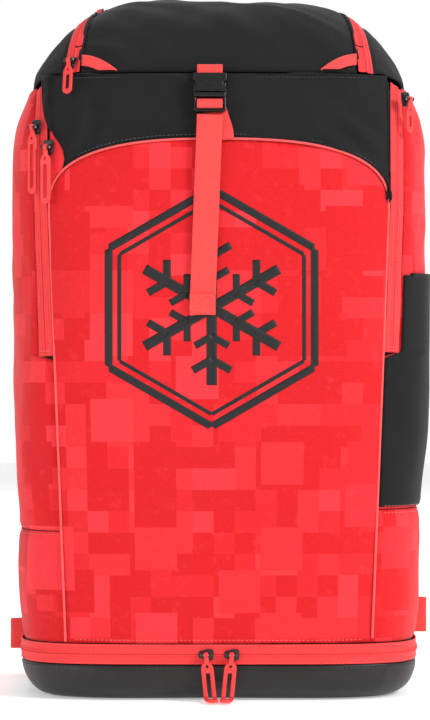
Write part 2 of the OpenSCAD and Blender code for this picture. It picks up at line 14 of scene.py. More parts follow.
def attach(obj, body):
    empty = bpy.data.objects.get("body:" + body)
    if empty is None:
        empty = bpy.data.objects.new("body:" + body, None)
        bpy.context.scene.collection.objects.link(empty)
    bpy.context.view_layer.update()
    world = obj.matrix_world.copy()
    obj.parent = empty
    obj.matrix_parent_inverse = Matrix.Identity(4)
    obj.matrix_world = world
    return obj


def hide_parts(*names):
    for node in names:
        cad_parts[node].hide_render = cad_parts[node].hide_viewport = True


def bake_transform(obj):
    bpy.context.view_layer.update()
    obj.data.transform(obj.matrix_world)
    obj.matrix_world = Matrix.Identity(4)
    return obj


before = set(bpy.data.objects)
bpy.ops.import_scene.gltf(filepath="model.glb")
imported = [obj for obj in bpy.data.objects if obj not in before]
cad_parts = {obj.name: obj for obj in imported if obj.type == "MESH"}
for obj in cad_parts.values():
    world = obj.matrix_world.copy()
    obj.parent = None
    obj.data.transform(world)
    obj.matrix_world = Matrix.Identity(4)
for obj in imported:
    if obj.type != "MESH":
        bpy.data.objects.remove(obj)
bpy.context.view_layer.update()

MM = 0.001

# ---------------------------------------------------------------- the bag's driving dimensions

HALF_W = 163 * MM
FRONT_D = 140 * MM
BACK_D = 124 * MM
BAG_H = 552 * MM
DOME_Z = 430 * MM
FRONT_POWER = 4.5
BACK_POWER = 6.0
DOME_POWER = 1.5
WAIST = 0.035
BELLY_Z = 240 * MM
WAIST_RUN = 180 * MM
PANEL_TOP = 132 * MM
PANEL_FOOT = 119 * MM
ARCH_Z = 436 * MM
ARCH_DROP = 52 * MM
ARCH_POWER = 2.6
BAND_W = 13 * MM
LID_SEAM_Z = 488 * MM
LID_FRONT = 115 * MM
LID_TOP = 95 * MM
LID_BACK = 62 * MM
TRAY_H = 28 * MM
BASE_ZIP_H = 16 * MM
BASE_Z = TRAY_H + BASE_ZIP_H
TRAY_R = 24 * MM
SHOULDER_Z = 480 * MM
SEAM_LEFT_Z = 131 * MM
SEAM_RIGHT_Z = 148 * MM
ZIP_FOOT_LEFT = 266 * MM
ZIP_FOOT_RIGHT = 269 * MM
BACK_SEAM = math.radians(40)
POCKET_FOOT_Z = 150 * MM
POCKET_TOP_Z = 331 * MM
TAPE_W = 6.5 * MM
TOOTH_RUN = 1.5 * MM
WEB_W = 20 * MM
WEB_T = 1.6 * MM
STRAP_X = -7 * MM


# ---------------------------------------------------------------- the bag's surface

def wall_share(z):
    """Share of the full plan at a height: 1, less a little waist below the belly, and above the
    dome's start (1 - t^1.5)^(1/4), where t is the share of the dome's rise."""
    z = np.asarray(z, float)
    t = np.clip((z - DOME_Z) / (BAG_H - DOME_Z), 0, 1)
    foot = 1 - WAIST * np.clip((BELLY_Z - z) / WAIST_RUN, 0, 1)
    return np.where(z > DOME_Z, (1 - t ** DOME_POWER) ** 0.25, foot)


def reach(a):
    """Distance from the axis to the full plan outline in direction a: a superellipse whose front
    and back halves have their own depth and power."""
    a = np.asarray(a, float)
    front = np.sin(a) < 0
    power = np.where(front, FRONT_POWER, BACK_POWER)
    depth = np.where(front, FRONT_D, BACK_D)
    return ((np.abs(np.cos(a)) / HALF_W) ** power + (np.abs(np.sin(a)) / depth) ** power) ** (-1 / power)


def wall(a, z):
    """Point of the wall in direction a at height z: the plan's reach there times the wall's share."""
    a, z = np.broadcast_arrays(np.asarray(a, float), np.asarray(z, float))
    r = wall_share(z) * reach(a)
    return np.stack([r * np.cos(a), r * np.sin(a), z], -1)


def front_angle(x, z):
    """Direction of the front wall's point at sideways place x and height z."""
    s = wall_share(z)
    k = np.clip(1 - np.minimum(1, np.abs(x) / (s * HALF_W)) ** FRONT_POWER, 0, 1)
    return np.arctan2(-FRONT_D * s * k ** (1 / FRONT_POWER), x)


def front(x, z):
    """Point of the front wall at sideways place x and height z."""
    return wall(front_angle(x, z), z)


def crown(x, y):
    """Point of the dome over plan point (x, y): the gauge g of the plan there gives the height as the
    dome's start plus its rise times (1 - g^4)^(2/3)."""
    x, y = np.broadcast_arrays(np.asarray(x, float), np.asarray(y, float))
    power = np.where(y < 0, FRONT_POWER, BACK_POWER)
    depth = np.where(y < 0, FRONT_D, BACK_D)
    g = ((np.abs(x) / HALF_W) ** power + (np.abs(y) / depth) ** power) ** (1 / power)
    z = DOME_Z + (BAG_H - DOME_Z) * np.clip(1 - g ** 4, 0, 1) ** (1 / DOME_POWER)
    return np.stack([x, y, z], -1)


def panel_edge(z):
    """Half width of the front panel: it widens evenly from the base zip to the arch's spring."""
    t = np.clip((z - BASE_Z) / (ARCH_Z - ARCH_DROP - BASE_Z), 0, 1)
    return PANEL_FOOT + (PANEL_TOP - PANEL_FOOT) * t


def arch(f):
    """Height of the arch over the share f of the panel's half width, a superellipse quarter each side."""
    f = np.abs(np.asarray(f, float))
    return ARCH_Z - ARCH_DROP + ARCH_DROP * np.clip(1 - f ** ARCH_POWER, 0, 1) ** (1 / ARCH_POWER)


def lid_seam(f):
    """Plan point of the lid's front seam at share f of its half width."""
    p = front(f * LID_FRONT, np.full_like(np.asarray(f, float), LID_SEAM_Z))
    return p[..., :2]


def lid_arch(f):
    """Plan point of the lid's arched back edge at share f of its half width."""
    f = np.asarray(f, float)
    y = LID_BACK * np.clip(1 - np.abs(f) ** ARCH_POWER, 0, 1) ** (1 / ARCH_POWER)
    return np.stack([LID_TOP * f, y], -1)


def lid_outline(s):
    """Plan of the lid's zip for s from 0 at the front left corner to 1 at the front right corner: a
    straight side, the arch over the back, and a straight side."""
    s = np.asarray(s, float)
    t0 = np.clip(s / 0.25, 0, 1)[..., None]
    t1 = np.clip((s - 0.75) / 0.25, 0, 1)[..., None]
    left = lid_seam(np.array(-1.0)) * (1 - t0) + lid_arch(np.array(-1.0)) * t0
    right = lid_arch(np.array(1.0)) * (1 - t1) + lid_seam(np.array(1.0)) * t1
    back = lid_arch(-np.cos((s - 0.25) * 2 * math.pi))
    return np.where((s < 0.25)[..., None], left, np.where((s > 0.75)[..., None], right, back))


def lid_offset(s, d):
    """The lid's outline moved out by d, square to its own run."""
    e = 0.004
    p, q = lid_outline(np.clip(s - e, 0, 1)), lid_outline(np.clip(s + e, 0, 1))
    run = q - p
    run /= np.linalg.norm(run, axis=-1, keepdims=True)
    side = np.stack([-run[..., 1], run[..., 0]], -1)
    return lid_outline(s) + np.asarray(d)[..., None] * side


# ---------------------------------------------------------------- numpy helpers

def mix(a, b, t):
    return a + (b - a) * t


def smooth(t):
    """0 to 1 with level ends: t^2 (3 - 2t)."""
    t = np.clip(t, 0, 1)
    return t * t * (3 - 2 * t)


def ripple(p, seed, size, waves=7):
    """Soft noise of about -1 to 1 with bumps about size across: a sum of plane waves with seeded
    directions, lengths and phases."""
    rng = np.random.default_rng(seed)
    total = np.zeros(p.shape[:-1])
    for _ in range(waves):
        way = rng.normal(size=p.shape[-1])
        way /= np.linalg.norm(way)
        total += np.sin(p @ way * (2 * math.pi / (size * rng.uniform(0.7, 1.7))) + rng.uniform(0, 6.28))
    return total / math.sqrt(waves) / 1.2


def crease(p, seed, size, sharp=3.0):
    """Narrow ridges where the soft noise crosses zero: exp(-(sharp * noise)^2)."""
    return np.exp(-(sharp * ripple(p, seed, size)) ** 2)


def unit(v):
    return v / np.maximum(np.linalg.norm(v, axis=-1, keepdims=True), 1e-12)


def grid_normals(p):
    """Outward unit normals of a grid of points: along the columns crossed with along the rows."""
    return unit(np.cross(np.gradient(p, axis=1), np.gradient(p, axis=0)))


def run_lengths(p, axis):
    """Length run along each line of a grid, from its start."""
    step = np.linalg.norm(np.diff(p, axis=axis), axis=-1)
    pad = [(0, 0), (0, 0)]
    pad[axis] = (1, 0)
    return np.cumsum(np.pad(step, pad), axis=axis)


def edge_distance(p, skip=""):
    """Distance of each grid point to the nearest of the four edges; skip leaves out l, r, b or t."""
    across, up = run_lengths(p, 1), run_lengths(p, 0)
    far = np.full(p.shape[:2], 1.0)
    sides = {"l": across, "r": across[:, -1:] - across, "b": up, "t": up[-1:] - up}
    for key, d in sides.items():
        if key not in skip:
            far = np.minimum(far, d)
    return far


def seam_roll(p, depth, width, seed, pucker=0.35 * MM):
    """How a sewn panel falls at its seams: it dips by depth within width of an edge, with small
    puckers that fade away from the stitches."""
    d = edge_distance(p)
    along = run_lengths(p, 1) + run_lengths(p, 0)
    waves = np.sin(along * (2 * math.pi / (8.5 * MM)) + 2.5 * ripple(p, seed + 50, 30 * MM))
    near = np.exp(-d / (7 * MM)) * (1 - np.exp(-d / (1.5 * MM)))
    return -depth * np.exp(-(d / width) ** 2) + pucker * waves * near


def resample(points, step):
    """Points set evenly, about step apart, along a smooth curve through the given ones: a
    Catmull-Rom spline."""
    p = np.asarray(points, float)
    q = np.vstack([2 * p[0] - p[1], p, 2 * p[-1] - p[-2]])
    t = np.linspace(0, 1, 24, endpoint=False)[:, None]
    spans = []
    for i in range(len(p) - 1):
        a, b, c, d = q[i:i + 4]
        spans.append(0.5 * (2 * b + (c - a) * t + (2 * a - 5 * b + 4 * c - d) * t ** 2
                            + (3 * b - a - 3 * c + d) * t ** 3))
    curve = np.vstack(spans + [p[-1:]])
    s = np.concatenate([[0], np.cumsum(np.linalg.norm(np.diff(curve, axis=0), axis=1))])
    count = max(2, int(round(s[-1] / step)) + 1)
    at = np.linspace(0, s[-1], count)
    return np.stack([np.interp(at, s, curve[:, k]) for k in range(3)], -1)


# ---------------------------------------------------------------- meshes

def new_object(name, verts, faces, uv=None):
    """A mesh object from arrays of points and faces; uv has one pair for each point."""
    mesh = bpy.data.meshes.new(name)
    mesh.from_pydata(np.asarray(verts, float).reshape(-1, 3).tolist(), [], np.asarray(faces).tolist()
                     if isinstance(faces, np.ndarray) else faces)
    if uv is not None:
        layer = mesh.uv_layers.new(name="run")
        loops = np.zeros(len(mesh.loops), int)
        mesh.loops.foreach_get("vertex_index", loops)
        layer.data.foreach_set("uv", np.asarray(uv, float).reshape(-1, 2)[loops].ravel())
    mesh.polygons.foreach_set("use_smooth", [True] * len(mesh.polygons))
    mesh.update()
    made = bpy.data.objects.new(name, mesh)
    bpy.context.scene.collection.objects.link(made)
    return made


def grid_faces(m, n, wrap_columns=False, start=0):
    """Quads of a grid of m rows and n columns, facing out where columns run to the right and rows up."""
    i = np.arange(m - 1)[:, None]
    j = np.arange(n if wrap_columns else n - 1)[None, :]
    i2, j2 = i + 1, (j + 1) % n
    quads = np.stack([i * n + j, i * n + j2, i2 * n + j2, i2 * n + j], -1)
    return quads.reshape(-1, 4) + start


def girth(a):
    """Length round the full plan from the middle of the front to direction a, in metres."""
    turn = np.linspace(-2.5 * math.pi, 1.5 * math.pi, 3001)
    at = np.stack([reach(turn) * np.cos(turn), reach(turn) * np.sin(turn)], -1)
    run = np.concatenate([[0], np.cumsum(np.linalg.norm(np.diff(at, axis=0), axis=1))])
    run -= np.interp(-math.pi / 2, turn, run)
    return np.interp(a, turn, run)


def shell_sheet(name, p, push, uv, thick=2.2 * MM):
    """A panel of cloth: the grid p pushed out along its normals, with a wall added inwards. Its map is
    given in metres."""
    pts = p + grid_normals(p) * push[..., None]
    made = new_object(name, pts, grid_faces(*p.shape[:2]), uv)
    cloth = made.modifiers.new("cloth", "SOLIDIFY")
    cloth.thickness = thick
    cloth.offset = -1
    return made


def wall_panel(name, a, z, push, thick=2.2 * MM):
    """A cloth panel on the wall over grids of direction and height; its map is girth and height."""
    return shell_sheet(name, wall(a, z), push, np.stack([girth(a), z], -1), thick)


def crown_panel(name, plan, push, thick=2.2 * MM):
    """A cloth panel on the dome over a grid of plan points; its map is run across and run up."""
    p = crown(plan[..., 0], plan[..., 1])
    across = run_lengths(p, 1)
    uv = np.stack([across - across[:, across.shape[1] // 2][:, None], run_lengths(p, 0)], -1)
    return shell_sheet(name, p, push, uv, thick)


def mirrored(p):
    """The same grid on the other side of the bag, its columns turned round so that it still faces out."""
    return p[:, ::-1] * np.array([-1.0, 1.0, 1.0])[:p.shape[-1]]


def grid(columns, rows):
    """Shares 0 to 1 across and up, as two arrays of rows by columns."""
    return np.meshgrid(np.linspace(0, 1, columns), np.linspace(0, 1, rows))


def half_tape(name, centre, side, out, width, sign, seed=1):
    """One half of a zip: a woven tape from the zip's middle line to its outer edge, with half a coil
    beside the line. Across the tape the height is a half circle over the coil, whose teeth rise and
    fall as a sine along the run, then a flat tape with two shallow stitched channels and a rolled edge."""
    x = np.concatenate([np.linspace(0.05, 1.9, 8) * MM, np.linspace(2.6 * MM, width, 9)])
    run = np.concatenate([[0], np.cumsum(np.linalg.norm(np.diff(centre, axis=0), axis=1))])
    dome = np.sqrt(np.clip(1 - ((x - 0.95 * MM) / (1.05 * MM)) ** 2, 0, 1))
    tooth = 0.5 + 0.5 * np.sin(run * (2 * math.pi / TOOTH_RUN) + (0 if sign > 0 else math.pi))
    flat = np.where(x > 2.2 * MM, 1.0, 0.4)
    channel = np.exp(-((x - 0.55 * width) / (0.45 * MM)) ** 2)
    channel = channel + np.exp(-((x - 0.86 * width) / (0.4 * MM)) ** 2)
    height = 0.5 * MM * flat - 0.28 * MM * channel
    height = height[None] + 1.25 * MM * dome[None] * (0.62 + 0.38 * tooth[:, None])
    wave = 0.35 * MM * ripple(centre * 1.0, seed, 38 * MM)
    height = height + wave[:, None] * (x / width)[None]
    height[:, -1] -= 0.45 * MM
    pts = centre[:, None] + side[:, None] * (sign * x)[None, :, None] + out[:, None] * height[..., None]
    uv = np.stack([np.broadcast_to(sign * x, height.shape),
                   np.broadcast_to(run[:, None], height.shape)], -1)
    if sign < 0:
        pts, uv = pts[:, ::-1], uv[:, ::-1]
    made = new_object(name, pts, grid_faces(*pts.shape[:2]), uv)
    cloth = made.modifiers.new("cloth", "SOLIDIFY")
    cloth.thickness = 0.9 * MM
    cloth.offset = -1
    return made


def sweep(name, path, side, out, profile):
    """A profile carried along a path: profile is (k, 2), across and out, and side and out are the unit
    ways at each path point. Ends are closed with a face. A profile may have its own copy per point."""
    path, side, out = (np.asarray(a, float) for a in (path, side, out))
    prof = np.asarray(profile, float)
    if prof.ndim == 2:
        prof = np.broadcast_to(prof, (len(path),) + prof.shape)
    pts = path[:, None] + side[:, None] * prof[..., 0:1] + out[:, None] * prof[..., 1:2]
    m, n = pts.shape[:2]
    faces = [tuple(reversed(f)) for f in grid_faces(m, n, wrap_columns=True).tolist()]
    run = np.concatenate([[0], np.cumsum(np.linalg.norm(np.diff(path, axis=0), axis=1))])
    uv = np.stack([prof[..., 0], np.broadcast_to(run[:, None], (m, n))], -1)
    faces.append(tuple(range(n)))
    faces.append(tuple(reversed(range((m - 1) * n, m * n))))
    made = new_object(name, pts, faces, uv)
    recalc(made)
    return made


def recalc(made):
    """Turns every face outward."""
    bm = bmesh.new()
    bm.from_mesh(made.data)
    bmesh.ops.recalc_face_normals(bm, faces=bm.faces)
    bm.to_mesh(made.data)
    bm.free()


def tube(name, path, radius, sides=8):
    """A round cord of cloth or wire: a circle carried along a path."""
    path = np.asarray(path, float)
    run = unit(np.gradient(path, axis=0))
    ref = np.where(np.abs(run[:, 2:3]) > 0.9, [[0, 1.0, 0]], [[0, 0, 1.0]])
    side = unit(np.cross(run, ref))
    out = unit(np.cross(side, run))
    a = np.linspace(0, 2 * math.pi, sides, endpoint=False)
    circle = np.stack([np.cos(a), np.sin(a)], -1) * radius
    return sweep(name, path, side, out, circle)


def rib_profile(width, thick, ribs=10, depth=0.24 * MM, steps=6):
    """Section of woven webbing: two faces of shallow ribs, joined by round edges."""
    n = ribs * steps
    x = np.linspace(-width / 2 + thick / 2, width / 2 - thick / 2, n)
    rib = depth * np.abs(np.sin(np.linspace(0, math.pi * ribs, n)))
    a = np.linspace(math.pi / 2, -math.pi / 2, 6)[1:-1]
    right = np.stack([width / 2 - thick / 2 + thick / 2 * np.cos(a), thick / 2 * np.sin(a)], -1)
    top = np.stack([x, thick / 2 + rib - depth], -1)
    low = np.stack([x[::-1], -thick / 2 - rib + depth], -1)
    return np.vstack([top, right, low, right[::-1] * [-1, 1] * [1, 1]])


def webbing(name, points, side, width=WEB_W, thick=WEB_T, step=2.5 * MM, ribs=10):
    """Flat woven strap along points: side is the way across, given once or at each point."""
    path = resample(points, step)
    run = unit(np.gradient(path, axis=0))
    side = np.asarray(side, float)
    if side.ndim == 1:
        side = np.broadcast_to(side, path.shape)
    else:
        t = np.linspace(0, 1, len(side))
        at = np.linspace(0, 1, len(path))
        side = np.stack([np.interp(at, t, side[:, k]) for k in range(3)], -1)
    side = unit(side - run * np.sum(side * run, -1, keepdims=True))
    return sweep(name, path, side, np.cross(run, side), rib_profile(width, thick, ribs))


def stitches(name, path, out, pitch=3.4 * MM, length=2.5 * MM, radius=0.33 * MM):
    """A row of lock stitches: short six-sided dashes with pointed ends along a path, each half sunk
    in the cloth."""
    path = np.asarray(path, float)
    s = np.concatenate([[0], np.cumsum(np.linalg.norm(np.diff(path, axis=0), axis=1))])
    at = np.arange(pitch / 2, s[-1] - length / 2, pitch)
    where = np.stack([np.interp(at, s, path[:, k]) for k in range(3)], -1)
    run = np.gradient(path, axis=0)
    run = unit(np.stack([np.interp(at, s, run[:, k]) for k in range(3)], -1))
    out = np.asarray(out, float)
    if out.ndim == 1:
        out = np.broadcast_to(out, path.shape)
    out = unit(np.stack([np.interp(at, s, out[:, k]) for k in range(3)], -1))
    side = unit(np.cross(run, out))
    a = np.linspace(0, 2 * math.pi, 6, endpoint=False)
    rings = [(-0.5, 0.15), (-0.32, 1.0), (0.32, 1.0), (0.5, 0.15)]
    pts = np.concatenate([
        where[:, None] + run[:, None] * (along * length)
        + side[:, None] * (np.cos(a) * radius * size)[None, :, None]
        + out[:, None] * (np.sin(a) * radius * size - 0.1 * radius)[None, :, None]
        for along, size in rings], 1)
    one = grid_faces(4, 6, wrap_columns=True)
    faces = (one[None] + (np.arange(len(at)) * 24)[:, None, None]).reshape(-1, 4).tolist()
    for k in range(len(at)):
        faces.append(tuple(reversed(range(24 * k, 24 * k + 6))))
        faces.append(tuple(range(24 * k + 18, 24 * k + 24)))
    made = new_object(name, pts, faces)
    recalc(made)
    return made


def place_of(origin, out, up):
    """Axes of a small part: its Z along up, its -Y along out, as (origin, x, y, z)."""
    z = unit(np.asarray(up, float))
    x = unit(np.cross(z, np.asarray(out, float)))
    return np.asarray(origin, float), x, np.cross(z, x), z


def put(place, local):
    """Local points of a small part, moved to its place."""
    o, x, y, z = place
    local = np.asarray(local, float)
    return o + local[..., 0:1] * x + local[..., 1:2] * y + local[..., 2:3] * z


def slab(name, place, loops, thick, depth=0.0, round_edge=0.5 * MM):
    """A plate cut from outlines: loops of (x, z) points, the first outside and the others holes, given
    thickness along y about depth, with rounded edges."""
    curve = bpy.data.curves.new(name, "CURVE")
    curve.dimensions = "2D"
    curve.fill_mode = "BOTH"
    curve.extrude = thick / 2 - round_edge
    curve.bevel_depth = round_edge
    curve.bevel_resolution = 2
    curve.offset = -round_edge
    for loop in loops:
        line = curve.splines.new("POLY")
        line.points.add(len(loop) - 1)
        line.points.foreach_set("co", np.column_stack([loop, np.zeros(len(loop)),
                                                       np.ones(len(loop))]).ravel())
        line.use_cyclic_u = True
    shape = bpy.data.objects.new(name, curve)
    bpy.context.scene.collection.objects.link(shape)
    bpy.context.view_layer.update()
    mesh = bpy.data.meshes.new_from_object(shape.evaluated_get(bpy.context.evaluated_depsgraph_get()))
    bpy.data.objects.remove(shape)
    co = np.zeros(len(mesh.vertices) * 3)
    mesh.vertices.foreach_get("co", co)
    co = co.reshape(-1, 3)
    local = np.stack([co[:, 0], -co[:, 2] + depth, co[:, 1]], -1)
    mesh.vertices.foreach_set("co", put(place, local).ravel())
    made = bpy.data.objects.new(name, mesh)
    made.data.name = name
    bpy.context.scene.collection.objects.link(made)
    weld(made)
    return made


def weld(made, distance=0.01 * MM):
    """Merges doubled points and turns the faces outward."""
    bm = bmesh.new()
    bm.from_mesh(made.data)
    bmesh.ops.remove_doubles(bm, verts=bm.verts, dist=distance)
    bmesh.ops.recalc_face_normals(bm, faces=bm.faces)
    bm.to_mesh(made.data)
    bm.free()
    made.data.update()


def round_rect(w, h, r, steps=6):
    """Outline of a rectangle with round corners."""
    r = min(r, w / 2 - 1e-5, h / 2 - 1e-5)
    pts = []
    for k, (sx, sz) in enumerate([(1, 1), (-1, 1), (-1, -1), (1, -1)]):
        a = np.linspace(0, math.pi / 2, steps) + k * math.pi / 2
        pts.append(np.stack([sx * (w / 2 - r) + r * np.cos(a), sz * (h / 2 - r) + r * np.sin(a)], -1))
    return np.vstack(pts)


def join(name, objects):
    """Joins several meshes into one piece."""
    first = objects[0]
    with bpy.context.temp_override(active_object=first, selected_editable_objects=objects,
                                   selected_objects=objects):
        bpy.ops.object.join()
    first.name = name
    first.data.name = name
    return first


# ---------------------------------------------------------------- materials

def tone(r, g, b):
    """A colour given as 0 to 255 display values, as the linear values that shaders take."""
    return tuple(c / 12.92 if c <= 0.04045 else ((c + 0.055) / 1.055) ** 2.4
                 for c in (r / 255, g / 255, b / 255)) + (1.0,)


class Nodes:
    """Short ways to add and join nodes in one tree."""

    def __init__(self, tree):
        self.tree = tree

    def add(self, kind, **values):
        made = self.tree.nodes.new(kind)
        for key, value in values.items():
            setattr(made, key, value)
        return made

    def link(self, a, b):
        self.tree.links.new(a, b)

    def feed(self, socket, value):
        if hasattr(value, "is_output"):
            self.link(value, socket)
        else:
            socket.default_value = value

    def math(self, operation, a, b=0.0, clamp=False):
        made = self.add("ShaderNodeMath", operation=operation, use_clamp=clamp)
        self.feed(made.inputs[0], a)
        self.feed(made.inputs[1], b)
        return made.outputs[0]

    def vec(self, operation, a, b=(0.0, 0.0, 0.0)):
        made = self.add("ShaderNodeVectorMath", operation=operation)
        self.feed(made.inputs[0], a)
        if operation == "SCALE":
            self.feed(made.inputs[3], b)
        else:
            self.feed(made.inputs[1], b)
        return made.outputs[0]

    def blend(self, a, b, share, mode="MIX"):
        made = self.add("ShaderNodeMix", data_type="RGBA", blend_type=mode)
        self.feed(made.inputs[0], share)
        self.feed(made.inputs[6], a)
        self.feed(made.inputs[7], b)
        return made.outputs[2]

    def noise(self, vector, scale, detail=3.0, rough=0.55):
        made = self.add("ShaderNodeTexNoise")
        self.feed(made.inputs["Vector"], vector)
        made.inputs["Scale"].default_value = scale
        made.inputs["Detail"].default_value = detail
        made.inputs["Roughness"].default_value = rough
        return made.outputs["Fac"]

    def ramp(self, value, stops, constant=False):
        made = self.add("ShaderNodeValToRGB")
        if constant:
            made.color_ramp.interpolation = "CONSTANT"
        while len(made.color_ramp.elements) < len(stops):
            made.color_ramp.elements.new(0.5)
        for element, (place, colour) in zip(made.color_ramp.elements, stops):
            element.position = place
            element.color = colour
        self.link(value, made.inputs[0])
        return made.outputs[0]


def node_group(name, inputs, outputs):
    """An empty node group with named sockets, each given as (name, kind, value)."""
    tree = bpy.data.node_groups.new(name, "ShaderNodeTree")
    for label, kind, value in inputs:
        made = tree.interface.new_socket(name=label, in_out="INPUT", socket_type=kind)
        if value is not None:
            made.default_value = value
    for label, kind in outputs:
        tree.interface.new_socket(name=label, in_out="OUTPUT", socket_type=kind)
    n = Nodes(tree)
    return n, n.add("NodeGroupInput").outputs, n.add("NodeGroupOutput").inputs


def weave_group():
    """Plain weave: threads run both ways and pass over each other on a checker. The height is the
    rounded top of whichever thread lies on top, and the shade darkens the gaps and varies by thread."""
    n, i, o = node_group("Plain weave",
                         [("Vector", "NodeSocketVector", None),
                          ("Threads per metre", "NodeSocketFloat", 900.0)],
                         [("Height", "NodeSocketFloat"), ("Shade", "NodeSocketFloat")])
    at = n.vec("SCALE", i["Vector"], i["Threads per metre"])
    split = n.add("ShaderNodeSeparateXYZ")
    n.link(at, split.inputs[0])
    checker = n.math("MODULO", n.math("ADD", n.math("FLOOR", split.outputs[0]),
                                      n.math("FLOOR", split.outputs[1])), 2.0)
    checker = n.math("ABSOLUTE", checker)
    across = n.math("ABSOLUTE", n.math("SINE", n.math("MULTIPLY", split.outputs[0], math.pi)))
    along = n.math("ABSOLUTE", n.math("SINE", n.math("MULTIPLY", split.outputs[1], math.pi)))
    one = n.math("MULTIPLY", across, checker)
    two = n.math("MULTIPLY", along, n.math("SUBTRACT", 1.0, checker))
    height = n.math("ADD", one, two)
    cell = n.add("ShaderNodeTexWhiteNoise", noise_dimensions="1D")
    n.link(n.math("ADD", n.math("FLOOR", split.outputs[0]),
                  n.math("MULTIPLY", n.math("FLOOR", split.outputs[1]), 0.37)),
           cell.inputs["W"])
    n.link(height, o["Height"])
    n.link(n.math("ADD", n.math("MULTIPLY", height, 0.16),
                  n.math("MULTIPLY", cell.outputs["Value"], 0.10)), o["Shade"])
    return n.tree


def wear_and_shade_group():
    """Wear and painted shade: soft cloudy patches of tone, which become painted shade for the folds where
    the black cloth widens them, and small pale rubbed spots of wear, as one mask from 0 to 1.
    """
    n, i, o = node_group("Wear and painted shade",
                         [("Vector", "NodeSocketVector", None), ("Amount", "NodeSocketFloat", 0.5)],
                         [("Cloud", "NodeSocketFloat"), ("Rub", "NodeSocketFloat")])
    cloud = n.noise(i["Vector"], 14.0, 4.0)
    rub = n.noise(i["Vector"], 120.0, 3.0)
    n.link(n.math("MULTIPLY", cloud, i["Amount"]), o["Cloud"])
    n.link(n.math("MULTIPLY", n.math("MULTIPLY", n.math("SUBTRACT", rub, 0.58, clamp=True), 6.0,
                                     clamp=True), i["Amount"]),
           o["Rub"])
    return n.tree


WEAVE = weave_group()
WEAR_AND_SHADE = wear_and_shade_group()


def use_group(n, tree, vector, **values):
    made = n.add("ShaderNodeGroup")
    made.node_tree = tree
    n.link(vector, made.inputs["Vector"])
    for key, value in values.items():
        made.inputs[key.replace("_", " ")].default_value = value
    return made.outputs


def blank(name):
    """A material with one Principled BSDF, and short ways to its nodes and coordinates."""
    made = bpy.data.materials.new(name)
    made.use_nodes = True
    n = Nodes(made.node_tree)
    shader = made.node_tree.nodes["Principled BSDF"]
    coords = n.add("ShaderNodeTexCoord")
    return made, n, shader, coords


def bump(n, shader, height, strength, distance):
    made = n.add("ShaderNodeBump")
    made.inputs["Strength"].default_value = strength
    made.inputs["Distance"].default_value = distance
    n.link(height, made.inputs["Height"])
    n.link(made.outputs[0], shader.inputs["Normal"])


def cloth_finish(name, colour, threads=900.0, rough=0.82, sheen=0.25, sheen_tint=(1, 1, 1, 1),
                 depth=0.12 * MM,
                 strength=0.5, spread=0.16, mapped=True, colour_maker=None, ripstop=False):
    """Woven cloth: a base colour varied by thread, cloud and rubbing, with the weave as relief."""
    made, n, shader, coords = blank(name)
    vector = coords.outputs["UV"] if mapped else coords.outputs["Object"]
    weave = use_group(n, WEAVE, vector, Threads_per_metre=threads)
    wear_and_shade = use_group(n, WEAR_AND_SHADE, coords.outputs["Object"], Amount=1.0)
    base = colour_maker(n, vector) if colour_maker else colour
    # Cloudy patches scaled by spread vary the tone. On the black cloth the wide spread makes them painted
    # shade that stands in for the shade of its folds.
    shade = n.math("ADD", n.math("ADD", weave["Shade"], 0.86),
                   n.math("MULTIPLY", n.math("SUBTRACT", wear_and_shade["Cloud"], 0.5), spread))
    shade_rgb = n.add("ShaderNodeCombineColor")
    for socket in shade_rgb.inputs:
        n.link(shade, socket)
    tinted = n.blend(base, shade_rgb.outputs[0], 1.0, "MULTIPLY")
    pale = tuple(min(1.0, c * 1.35 + 0.012) for c in colour[:3]) + (1.0,)
    n.link(n.blend(tinted, pale, n.math("MULTIPLY", wear_and_shade["Rub"], 0.22)), shader.inputs["Base Color"])
    n.link(n.math("ADD", n.math("MULTIPLY", wear_and_shade["Cloud"], 0.12), rough - 0.06),
           shader.inputs["Roughness"])
    height = weave["Height"]
    if ripstop:
        grid_at = n.vec("SCALE", vector, 1.0 / 0.0052)
        split = n.add("ShaderNodeSeparateXYZ")
        n.link(grid_at, split.inputs[0])
        for k in (0, 1):
            wave = n.math("SINE", n.math("MULTIPLY", split.outputs[k], math.pi))
            line = n.math("GREATER_THAN", n.math("ABSOLUTE", wave), 0.985)
            height = n.math("ADD", height, n.math("MULTIPLY", line, 0.9))
    bump(n, shader, height, strength, depth)
    shader.inputs["Sheen Weight"].default_value = sheen
    shader.inputs["Sheen Roughness"].default_value = 0.45
    shader.inputs["Sheen Tint"].default_value = sheen_tint
    shader.inputs["Specular IOR Level"].default_value = 0.3
    return made


def camo_colour(n, vector):
    """A random pattern of squares: each small cell takes a random value, unless the cell twice or four
    times its size that holds it is chosen to be one block; four flat tones follow the value."""
    cell = 16.6 * MM
    values = []
    for size, shift in ((1, 0.0), (2, 7.3), (3, 3.1)):
        at = n.vec("SCALE", n.vec("ADD", vector, (0.0042 + shift, 0.0021 + shift, 0.0)),
                   1.0 / (cell * size))
        floor = n.vec("FLOOR", at)
        noise = n.add("ShaderNodeTexWhiteNoise", noise_dimensions="2D")
        n.link(floor, noise.inputs["Vector"])
        pick = n.add("ShaderNodeTexWhiteNoise", noise_dimensions="2D")
        n.link(n.vec("ADD", floor, (31.0 + size, 17.0, 0.0)), pick.inputs["Vector"])
        values.append((noise.outputs["Value"], pick.outputs["Value"]))
    value = values[0][0]
    for (block, pick), share in ((values[1], 0.66), (values[2], 0.90)):
        chosen = n.math("GREATER_THAN", pick, share)
        value = n.math("ADD", n.math("MULTIPLY", block, chosen),
                       n.math("MULTIPLY", value, n.math("SUBTRACT", 1.0, chosen)))
    return n.ramp(value, [(0.0, tone(212, 18, 26)), (0.44, tone(222, 30, 38)),
                          (0.66, tone(229, 40, 48)), (0.88, tone(236, 50, 58))], constant=True)


